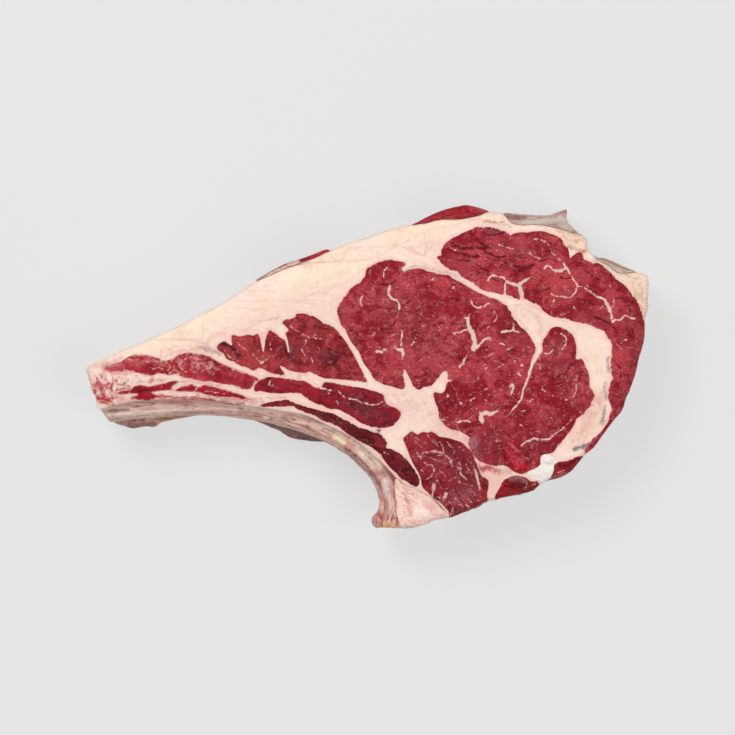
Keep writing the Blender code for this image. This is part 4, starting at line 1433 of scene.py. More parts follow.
CAP = Muscle(
    node="cap_muscle",
    outline=(
        "439.8,261 436.5,257.2 441,254.5 441.4,249 444.2,244.7 449,240.3 455,236.5 462.7,233.2 470.3,230 "
        "477,227 484.5,227.2 493,227.2 498.7,229.4 504,230.5 508,232.7 510.6,235 515,233.2 522.6,232 "
        "530.3,231.6 541,231 546.6,232 553,234.3 560.2,237.6 563.5,242 567.3,247 569,252.3 570,257.8 "
        "571.7,256.7 575,253.4 578.2,251.8 583,253.4 583.7,258.8 589,261 597.5,263 604.4,266.7 609,271 "
        "614.2,275.6 619.6,281 626.8,287.3 631.3,293.6 635.8,299 639.4,305.3 642,311.5 643.8,318 646.5,325 "
        "649,332 649,340 646,348 643.5,356 640,364 638,371 635.5,386 630,400.5 626,413 617,423 607,437 "
        "597.5,450 588,457 584.5,450.5 588.5,445.4 591,442 593,438.5 597.7,435 602.3,430.4 605.2,425.8 "
        "608,420 610.4,413 611.5,409.6 610.4,404 608,399 607.5,394.6 608.7,387.7 610.4,382 612.7,379.6 "
        "611.5,374 610.4,370 611,358.8 611.5,346 609.7,341 606.6,338.5 604.4,331.3 597.5,329 590,325 "
        "580.4,323 571.7,321 566,318.8 558.6,318.2 552,316.6 546.6,313.3 542.2,310 536.8,305.2 530.3,302 "
        "526,299.2 518.3,299.7 508.5,296 500.3,294.3 494.3,292.6 486.7,291.5 480,288.8 475.2,285 "
        "468.7,280.6 462.7,277.4 456.2,272.5 449.6,269.7 443,266.5"
    ),
    finish=MuscleFinish(
        "fresh cut beef cap", "#620410", "#9c1626", "#cc4a52", grain_angle=-20.0, flecks=0.5,
        ragged_mm=0.7),
    fat=seams(
        (2.4, 2.4, "487.8,280.6 491.6,275.7 497.6,276.8"), (2.2, 2.8, "497.6,276.8 504,278 506.8,281.7"),
        (2.4, 4.2, "506.8,281.7 514,284.5 518,285.5"), (4.0, 2.8, "518,285.5 520.5,283.4 526,279.6"),
        (2.2, 1.0, "526,279.6 531.4,276.8"), (3.6, 4.8, "518.3,285 521,291.5 522,299"),
        (1.8, 2.4, "505.6,281 505.2,287 505.2,294"), (1.8, 1.4, "530,253.5 534,256.7 539.8,259.2"),
        (2.2, 1.8, "544.2,269 547.8,265.3 551.4,269"), (1.8, 2.8, "551.4,269 556,270.7 559.5,271.6"),
        (3.0, 2.4, "559.5,271.6 563,269.8 566.7,268 569,273.8"), (1.8, 2.2, "562,261 563.5,264 566,268"),
        (1.2, 1.2, "543.3,241 548.7,245 551.4,250.5"), (1.3, 1.2, "551.4,250.5 554,255 557,258 563,262"),
        (1.1, 1.1, "533.5,239.7 538.8,238.4 545,241"),
        (1.6, 2.2, "570,273 573,279 576.5,283.7 577.4,287.3"),
        (2.2, 2.0, "577.4,287.3 574.7,292.7 570.3,297.6"),
        (2.0, 1.4, "570.3,297.6 565,297.6 559.5,296.7 553,295"),
        (1.4, 1.1, "551.4,293.6 554,296.3 553.2,302.6 551,307"),
        (1.3, 1.0, "569,299 571.6,303.5 576.5,311.5"), (1.8, 2.0, "578.3,286 585.5,288.2 591,292.7"),
        (2.2, 2.6, "591,292.7 597.2,296.7 604.4,299.4"), (3.0, 4.2, "604.4,299.4 607,304.4 609.7,309.7"),
        (4.0, 2.2, "609.7,309.7 611.5,317 612.4,322"), (1.2, 1.0, "587,284.6 588,289"),
        (2.0, 2.4, "612,321.4 617,320.4 621.4,319.6"),
        (2.2, 1.8, "621.4,319.6 624.5,315.6 629.5,317.4 635,318.3"), (1.1, 1.0, "609.7,282 611,288"),
        (1.1, 1.0, "613.3,298 614.2,303.5 612,307"), (1.0, 0.9, "594.5,271 599,277.4"),
        (1.6, 1.4, "620.5,342.5 624,340.3 627,340"), (1.5, 1.2, "560.8,314.7 565,313.8 572,313.3"),
        (1.1, 1.1, "477,262 479,264"), (1.4, 1.4, "497,250.5"), (1.0, 1.0, "498,244 505,247 513,249"),
        (1.0, 0.9, "478,253 484,257 492,262 498,266"), (1.4, 1.4, "547,282"), (1.2, 1.2, "559,283"),
        (1.0, 1.0, "615,340 618,346 621,349"), (1.2, 1.2, "449,246.5 452,249 456,250"),
        (1.0, 1.0, "508,262 511,266"), (1.0, 1.0, "536,270 540,272"), (1.1, 1.1, "600,309 603,306"),
    ),
    folds=creases(
        (2.4, 0.7, "452.3,243.6 458.3,247 465,249 475.8,248 484.5,249"),
        (2.8, 0.6, "463.8,254.5 471.4,256.7 478,256"),
        (1.6, 0.45, "471.4,232.7 477,239.2 484.5,245.8 492,248"),
        (1.6, 0.4, "484.5,251.2 491,254.5 497.6,256.7 506.3,256"),
        (1.5, 0.4, "459.4,260.5 470.3,261 478,265.4 487.8,272"),
        (2.2, 0.5, "515,275.2 522.6,268.7 533.5,264.8"),
        (1.5, 0.45, "483.4,231.6 491,235.4 499.7,234.3 504,231.6"),
        (1.2, 0.3, "487,227.5 493,228.5 498,229"), (1.4, 0.4, "504,262 512,266 520,267"),
        (1.2, 0.3, "541,262 549,259 556,262"), (1.4, 0.3, "513,270 521,272 530,268"),
        (1.2, 0.3, "585,270 592,276 600,280"), (1.2, 0.3, "560,277 566,279 571,277"),
        (1.2, 0.3, "577,299 586,301 596,306"), (1.4, 0.35, "590,315 600,319 611,325 617,333"),
        (1.1, 0.25, "620,296 627,303 631,312"), (1.0, 0.3, "447,249 455,253 463,254"),
        (1.0, 0.25, "470,270 480,272 490,275"), (1.2, 0.3, "625,330 633,338"),
        (1.2, 0.3, "614,360 620,368 621,378"), (1.0, 0.25, "535,293 545,290 551,287"),
    ),
    colours=stains_and_painted_light(
        # The first, paler greyish red patch is painted sheen.
        ("#a0404c", 0.4, 18, 10, "490,242 515,250"), ("#7a4a5c", 0.5, 6, 3, "488,231 500,231"),
        ("#852330", 0.5, 22, 12, "632,310 638,340 632,375 618,405"),
        ("#8a2431", 0.35, 30, 14, "575,300 605,320"), ("#c2505a", 0.6, 14, 8, "455,262 470,272"),
        ("#8b2430", 0.4, 16, 9, "575,262 590,275"), ("#9c3d48", 0.35, 22, 12, "520,245 545,250"),
    ),
    swellings=bumps(
        (0.5, 18.0, 8.0, "470,238 500,236"), (0.4, 20.0, 9.0, "540,250"),
        (0.5, 20.0, 10.0, "585,280 600,290"), (0.4, 24.0, 10.0, "560,290"),
        (-0.4, 6.0, 4.0, "455,257 475,258 490,262"),
    ),
)

FLANK = Muscle(
    node="flank_muscle",
    outline=(
        "216,348.5 219,343 226,341.3 231.5,345 231.4,335 240,336 247,334.5 254,335 257.4,333.2 260,338 "
        "261.5,345 263.3,352 264.6,346 265.6,338 267.8,331.5 271.3,330 277.2,334.6 281,338 285.5,341 "
        "288.2,352.5 289.3,352 287.5,340 285.5,333 288.4,330 286.2,327 283,324.5 281.7,322.4 285.7,319.4 "
        "293.3,318 295.6,315 298,313.4 305,313.6 310.4,315 316,317.5 322,321.5 331,325.6 335.5,328 "
        "341,335.4 346.5,342.4 353.5,353.7 359,365 364.7,376 366.5,382 357,381.5 349.3,380.3 338,379.5 "
        "325.6,378.5 316,375 310,372 306,373.2 297.4,372.3 290.6,371 284.4,368.3 280,366 284.5,373.5 "
        "283.5,375.8 276.3,374.5 268.2,372.7 264,369.5 258,368.5 254.7,371 249,369 241,366 234,362.5 "
        "227,359 222.4,353"
    ),
    finish=MuscleFinish(
        "fresh cut beef flank side", "#54070f", "#8d141c", "#c04048", grain_angle=60.0, flecks=0.4),
    fat=seams(
        (1.2, 1.0, "287,325 297,331 303,334 310,338 318,338.5 328,340"), (1.2, 0.9, "312,338 316,334"),
        (1.4, 1.0, "302,350 305,355"), (1.2, 1.0, "311.5,357.5 313,362"),
        (1.4, 1.1, "237.7,343 245,349 252,353.5"), (1.2, 1.4, "252,353.5 256,358 262,363.7"),
        (1.6, 1.0, "262,362.5 268,359 270,355"), (1.6, 1.6, "294,357"), (1.0, 1.0, "270,343 271,350"),
        (1.4, 0.8, "224,350 230,357 238,361"), (1.0, 1.0, "317,346 320,350"), (1.2, 1.0, "306,340 304,346"),
        (1.4, 1.4, "287,329 292,326"), (1.3, 1.0, "253,370 262,373 275,375"),
    ),
    folds=creases(
        (2.0, 0.4, "222,344 229,345 234,350 239,355"),
        (1.2, 0.3, "325,350 331,349 336,354 336,361 330,365 324,362"),
        (1.0, 0.25, "327,353 332,355 331,360"), (1.2, 0.3, "283,345 286,352 290,358"),
        (1.0, 0.2, "247,343 252,347 258,349"), (1.0, 0.2, "300,322 306,326"),
    ),
    colours=stains_and_painted_light(
        # The near-black brown line along the first crease is painted shade. The dark purple patches in the
        # two creased hollows are partly the muscle's purple tone and partly painted shade.
        ("#3d2126", 0.85, 6.0, 2.0, "221,343.5 229,344 234,350 239,356"),
        ("#9c3a3c", 0.7, 4.5, 2.0, "219,348 226,352 232,358 240,363"),
        ("#5e2a34", 0.75, 14, 8, "289,349 292,356"), ("#5b2b35", 0.7, 18, 7, "330,357"),
        ("#a54340", 0.45, 14, 8, "310,322 325,332"), ("#8e2530", 0.5, 8, 5, "345,360 355,372"),
        ("#b84448", 0.5, 10, 6, "250,345 262,356"), ("#74242f", 0.5, 16, 8, "305,345 315,355"),
    ),
)

UPPER_RIB = Muscle(
    node="upper_rib_muscle",
    outline=(
        "253.8,386.2 255.6,383.5 260,380 266.5,377 280,377.7 292.4,379 303.2,380.3 308.6,382.6 313,386.2 "
        "318,387.5 322,384.4 325.6,381.8 340,384 351,386.2 361,387.7 370.3,389.7 378.5,392.4 384.6,395.4 "
        "385.6,399 387,404 395,407.7 400,410.3 401,415 398.5,420 396,423.6 390.8,426.7 382.6,428.3 "
        "377.4,428.2 370.3,426.7 362,423.6 352.8,417.4 344.6,412.8 338.5,409.7 330.3,409.2 322,405.6 "
        "318,404.5 309.5,400.5 303.2,396 299.6,393.8 289.7,393 279,393.8 270,393 262,391.5 254.7,391.5"
    ),
    finish=MuscleFinish(
        "fresh cut rib beef, upper", "#5a0812", "#850b1d", "#aa1f30", grain_angle=-15.0, flecks=0.2),
    fat=seams(
        (1.6, 1.4, "314,386.5 320,388 330,390 338,390.3"), (1.4, 1.6, "338,390.3 342,395 346.2,398.5"),
        (1.6, 1.8, "346.2,398.5 355,399.5 363,403 370.3,404.6"),
        (1.8, 1.2, "370.3,404.6 377.4,404 383.6,401.5 386,398"), (2.2, 1.6, "270,381 268.7,384.4 272,386"),
        (1.6, 0.8, "272,386 279,388.4"), (1.0, 1.0, "328,393 331,395 330,398"),
        (1.0, 0.9, "334,402 337,401 338,405"), (2.0, 3.0, "385,396 386,401 390,405"),
        (1.2, 1.0, "386,400 392,403"),
    ),
    folds=creases((1.0, 0.25, "350,404 356,409 364,411"), (1.0, 0.2, "290,384 300,387")),
    colours=stains_and_painted_light(
        ("#5d2f3d", 0.75, 14, 7, "352,404 364,410"), ("#6d2f3c", 0.5, 14, 8, "372,415 385,418"),
        ("#9a2f3c", 0.4, 8, 5, "270,384 290,386"), ("#93202f", 0.5, 6, 3, "345,389 370,394 380,397"),
        ("#d49a9a", 0.5, 5, 3, "388,403"),
    ),
)

LONG_RIB = Muscle(
    node="long_rib_muscle",
    outline=(
        "101,368.5 110,364.5 120,361.5 128,357 134,354.5 143,354.3 152,356 158,358 165,360.5 172,358.5 "
        "176,356 181,353.5 190,352.5 198,353.5 207,355 214,359 220.6,362.8 229.6,366.4 240.4,370.4 "
        "250.3,374.5 256.5,377.3 259,380 254.7,383.5 251.2,388.4 248.5,389.7 240.4,388.8 231.4,385.3 "
        "221.5,384 213.5,382 205,382 195,380 188,378.5 182,377.5 176,374.5 168,375.5 160,373.5 152,376 "
        "146,375.5 138,373 128,371.5 118,371.5 108,371"
    ),
    finish=MuscleFinish(
        "fresh cut rib beef, long", "#6a0815", "#940c20", "#cc3a48", seam="#dda59c", grain_angle=-15.0,
        flecks=0.3, ragged_mm=1.0, smear_mm=0.6),
    fat=seams(
        (1.4, 1.2, "122,358.8 130,359.5 145,361 158,362"), (1.6, 1.2, "186,372 180,367 182,361 190,357"),
        (1.4, 1.2, "190,357 197,359 204,360"), (1.4, 1.0, "200,363 206,365 212,368"),
        (1.4, 1.2, "201,373 206,368 211,371"), (1.6, 1.4, "190,370 196,372 200,366"),
        (1.8, 1.2, "153,369 158,367 163,370"), (1.2, 1.0, "213,374 218,369 222,372"),
        (1.8, 1.4, "168,375 175,370 181,376"), (1.6, 1.2, "192,362 199,364 196,367"),
        (1.4, 1.2, "166,361 170,366 168,371"), (1.0, 1.0, "170,357 176,361 178,366"),
    ),
    folds=creases((1.2, 0.3, "150,366 158,369"), (1.0, 0.25, "176,364 180,371")),
    colours=stains_and_painted_light(
        ("#c4656a", 0.6, 5, 3, "106,367.5 118,367 132,368"),
        ("#c98d8a", 0.4, 3, 2, "126,360 145,362 160,363"),
        ("#b3202f", 0.7, 5, 3, "128,371 140,372 152,371"),
        ("#9c1020", 0.75, 7, 3, "150,367 160,370 168,366"), ("#c4767a", 0.4, 10, 6, "183,362 205,366"),
        ("#8e1826", 0.6, 6, 4, "147,367 165,369"), ("#841726", 0.6, 10, 6, "228,376 250,384"),
        ("#b53a42", 0.5, 6, 4, "184,365 192,373"),
    ) + blots(
        9.1, ("#dd9690", 0.85, 13, 5, "166,363 180,364 196,361 212,366"),
        ("#cf7d7a", 0.85, 7, 4, "106,367 124,364 146,361 160,361"),
    ) + blots(
        4.9, ("#8a0d1f", 0.9, 14, 5, "128,366 150,367 172,364 196,366 216,372"),
        ("#c22c3a", 0.8, 12, 5, "130,368 160,370 200,372"),
    ),
)

INNER_RIB = Muscle(
    node="inner_rib_muscle",
    outline=(
        "117,392.8 124,390.5 130,389 135,386 140,384.5 145,385.5 150,386 156,384.2 162,383.5 170,381.5 "
        "176,380.5 179,382 176,384.5 172,387.5 174,390 178,388.5 184,385.5 192,384 198,386.5 204,384.8 "
        "209,385.2 215,387 223,388.8 230,391 240.4,394.2 247.6,397.8 252,399.8 245,400 236,398.2 225,397.3 "
        "215.3,396.5 205.4,394.6 198,393 190,391.8 180,392 170,390.8 160,391 152,393 158,395.5 164,397.5 "
        "156,398 148,400.3 138,400 130,399.5 131,396.5 137,394.5 128,394.3 120,394.5"
    ),
    finish=MuscleFinish(
        "fresh cut rib beef, inner", "#600612", "#8c0619", "#b81c30", seam="#dfa69d", grain_angle=-10.0,
        flecks=0.25, ragged_mm=0.5, smear_mm=0.4),
    fat=seams(
        (1.8, 1.6, "174,391 176,386 179,384"), (1.8, 1.2, "194,392 197,388 200,384"),
        (1.2, 1.0, "205,391 215,392 226,394"),
    ),
    folds=creases((1.2, 0.3, "139,391 150,390")),
    colours=stains_and_painted_light(
        ("#ad1524", 0.8, 6, 3, "133,397 148,397"), ("#5d1522", 0.6, 4, 3, "142,389 152,389"),
        ("#b3192b", 0.6, 3, 2, "120,392.5 130,392"),
    ),
)

INTERCOSTAL = Muscle(
    node="intercostal_muscle",
    outline=(
        "258.3,406 265.5,403.2 273.6,401.4 280,400.4 287,399.6 292.4,401.4 303,405.5 313,408.6 323,411.2 "
        "333,413.5 341.5,418 350,422 359,427.2 367.2,429.3 374.4,431.3 380.5,434.4 385,439 387.7,443.6 "
        "386.5,447.5 390.8,448.7 398,452 405,457.4 410.3,464 414.4,469.2 417.4,474.4 419.5,479 419,484.6 "
        "416,487.2 411.8,485.6 406.2,481.5 401,479 397,474.4 389.7,467.2 384.6,461 380,455 376,451 "
        "370.3,446.7 362,442.6 352.8,437.4 344.6,431.8 338.5,427.2 330.3,423.6 322,420.5 315,416 305,412.6 "
        "298,409.5 291.5,406.8 275.4,406.8 265.5,407.2"
    ),
    finish=MuscleFinish(
        "fresh cut intercostal beef", "#42060d", "#640710", "#8e1a24", grain_angle=-40.0, flecks=0.1),
    slot=Slot.DARK_MUSCLE,
    fat=seams((1.2, 0.8, "384,452 388,454")),
    folds=creases(
        (1.2, 0.4, "378,449 384,449 388,450"), (1.0, 0.3, "352,430 362,436 372,440"),
        (1.0, 0.3, "392,458 400,462 408,464"), (1.0, 0.3, "396,465 404,469 412,472"),
        (1.0, 0.3, "401,472 408,476 415,479"), (1.0, 0.3, "300,406 320,413 338,420"),
    ),
    colours=stains_and_painted_light(
        ("#6a1a24", 0.6, 14, 6, "395,458 408,472 414,480"),
        ("#a32a33", 0.6, 4, 3, "262,405.5 280,403 292,404"), ("#992431", 0.5, 7, 4, "374,436 382,443"),
        ("#64242c", 0.6, 6, 4, "310,412 335,420 350,428"),
    ),
)

MARBLED = Muscle(
    node="marbled_muscle",
    outline=(
        "403,438.5 405,436.5 408.2,433.5 412,431.3 417.4,434.4 420,433 423.6,431.8 428,432.5 431.8,431.3 "
        "436,433.3 439,436.4 448.2,438 455.4,440 462.6,443 467.7,447.7 471.8,452 475,459.5 478.5,467 "
        "482,475 488,480 488.5,487 487.5,495 487.5,501 484,507 470,516 456,520.5 449.5,518 448.2,512.3 "
        "444.6,507.2 440,503 433.8,499 428.7,493.8 422.6,487.7 421,481 418.5,473.3 415,467.2 410.3,458 "
        "407.2,449.7 404.6,443.6"
    ),
    finish=MuscleFinish(
        "coarse marbled beef", "#500710", "#800918", "#a52b38", seam="#dbaaa4", grain_angle=60.0,
        flecks=0.55),
    slot=Slot.DARK_MUSCLE,
    fat=seams(
        (1.4, 1.8, "421,457 423,453 428,452"), (1.8, 2.0, "428,452 434,451 441,452"),
        (1.8, 1.4, "441,452 445,455 449,458"), (1.3, 1.2, "426.7,434.4 431.8,441 439,447.2"),
        (1.2, 1.2, "440,442 443,448 444,455"), (1.3, 1.2, "447.2,442.6 451,446 455.4,449.7 453,454"),
        (1.2, 1.2, "414.4,440.5 420,446 425.6,448.2"), (1.5, 1.6, "421,457 422,461 427,464 432,465"),
        (1.6, 1.4, "432,465 434,470 431,476 426,480"), (1.2, 1.2, "430.8,458.5 438,460.5 443,463.6"),
        (2.2, 1.6, "452,460 451,462 453.3,466.7"), (1.7, 1.6, "459.5,463 461,473.3 466.7,480"),
        (1.5, 1.3, "466.7,463 467.6,467 469.2,470.3"), (1.4, 1.2, "471,462 472,465 474,467"),
        (4.2, 3.6, "434,485 434,489"), (2.4, 1.6, "433,490 432,497"), (4.2, 3.6, "446,494 445,497"),
        (2.8, 2.6, "475.4,470 478.5,483.6 480,489"), (1.4, 1.2, "416,452 421,457"),
        (1.3, 1.1, "449,458 450,462"), (1.2, 1.0, "440,470 445,476 443,482"),
        (1.2, 1.0, "449,481 455,478 461,484"), (1.3, 1.1, "452,488 458,492 465,490"),
        (1.2, 1.0, "455,498 460,502 464,508"), (1.2, 1.0, "463,493 468,499 473,503"),
        (1.2, 1.0, "448,501 452,505 454,511"), (1.2, 1.0, "470,489 475,493 481,497"),
        (1.2, 1.0, "466,484 472,486 474,481"), (1.4, 1.2, "459,505 466,505 470,510"),
        (1.2, 1.0, "437,480 441,488 448,489"), (1.4, 1.0, "421,470 426,474"),
        (1.1, 1.0, "437,496 443,500 447,505"), (1.2, 1.0, "450,516 452,509"), (1.1, 1.0, "478,500 484,504"),
        (1.1, 1.0, "455,462 458,468 457,474"), (1.1, 1.0, "436,455 442,456"), (1.2, 1.0, "459,447 464,450"),
    ),
    folds=creases(
        (1.4, 0.4, "449,459 451,464 448,468"), (1.2, 0.4, "455,491 460,497 461,505"),
        (1.2, 0.4, "448,507 452,513"), (1.0, 0.3, "470,497 474,505"), (1.0, 0.3, "426,456 434,455 441,457"),
    ),
    colours=stains_and_painted_light(
        ("#a12a35", 0.6, 16, 8, "410,440 425,440 420,455"), ("#6e2631", 0.6, 18, 9, "455,455 462,470"),
        ("#5d1a25", 0.45, 20, 9, "465,480 475,470"), ("#96232e", 0.5, 16, 8, "450,505 470,505"),
        ("#7c2a34", 0.5, 12, 7, "432,458 440,470"), ("#a8636a", 0.35, 14, 7, "455,497 470,492"),
    ),
)

LOWER = Muscle(
    node="lower_muscle",
    outline=(
        "495,498.5 497,492 499.6,488 503,481 508.8,477.7 514.6,475.4 520,476 526,477.7 530.8,481 "
        "537.7,481.2 539.4,483.5 540.5,489 534,495 526,497 518,499 508,501 500,502.5"
    ),
    finish=MuscleFinish(
        "dark trimmed beef", "#48050e", "#760712", "#9d1420", grain_angle=20.0, flecks=0.1, ragged_mm=0.7),
    slot=Slot.DARK_MUSCLE,
    fat=seams((1.0, 0.7, "525,490 527,484 526,480"), (0.8, 0.7, "531,486 536,483")),
    folds=creases((1.2, 0.3, "505,486 515,488"), (1.0, 0.3, "520,492 528,491")),
    colours=stains_and_painted_light(
        ("#a67f80", 0.7, 5, 3, "511,478 519,477.5 525,480"),
        ("#a42430", 0.6, 5, 3, "500,492 512,494 520,493"), ("#4e121c", 0.5, 9, 5, "518,484 530,486"),
    ),
)

TAIL = Muscle(
    node="tail_muscle",
    outline=(
        "586.5,457.5 584.8,462 580,469 573,474 567.7,478 560.8,481.5 549.2,484 546,483.5 549,479 "
        "551.5,475.4 553.8,469.6 554.2,465.5 558.5,462 565.4,460.4 572.3,458.7 579.2,456"
    ),
    finish=MuscleFinish(
        "fresh cut beef tail of the cap", "#52060f", "#840814", "#a9232e", grain_angle=25.0, flecks=0.15,
        ragged_mm=0.6),
    fat=seams((0.9, 0.7, "556,473 564,470")),
    folds=creases((1.2, 0.3, "558,466 566,466 575,461")),
    colours=stains_and_painted_light(
        ("#a8303c", 0.5, 4, 2, "556,475 566,471 578,463"),
        ("#b98a88", 0.45, 3, 2, "552,479 560,475 566,473"),
    ),
)

LUMP = Muscle(
    node="white_fat_lump",
    outline=(
        "541.2,454.9 545,454.2 549.2,455.2 553.8,458 556.2,461.5 553.8,465 553.8,468.5 551.5,475.4 548,480 "
        "545,484.5 541.2,484.9 539.4,480 535.4,480 530.8,477.7 527.9,473 530.8,470.2 535.4,469 540,465 "
        "540.6,459.2"
    ),
    finish=MuscleFinish(
        "dry white beef fat", "#f1e2d8", "#f8ebe3", "#fef6f0", seam="#fbf3ec", flecks=0.0, cracks=0.3,
        ragged_mm=0.0),
    slot=Slot.WHITE_FAT,
    folds=(Mark("540,464.5 545,463.3 550,464.8 554,464.5", (1.3, 1.3), 0.6, soft=0.9),),
    colours=stains_and_painted_light(
        ("#f7eee6", 0.6, 8, 4, "545,472"), ("#dcc4b4", 0.5, 1.6, 1.2, "529,474 536,480 541,484"),
    ),
    swellings=bumps((0.7, 9.0, 3.0, "548,459"), (0.7, 13.0, 4.0, "543,474"), (0.3, 4.0, 2.5, "533,474")),
    crown_mm=0.5,
)

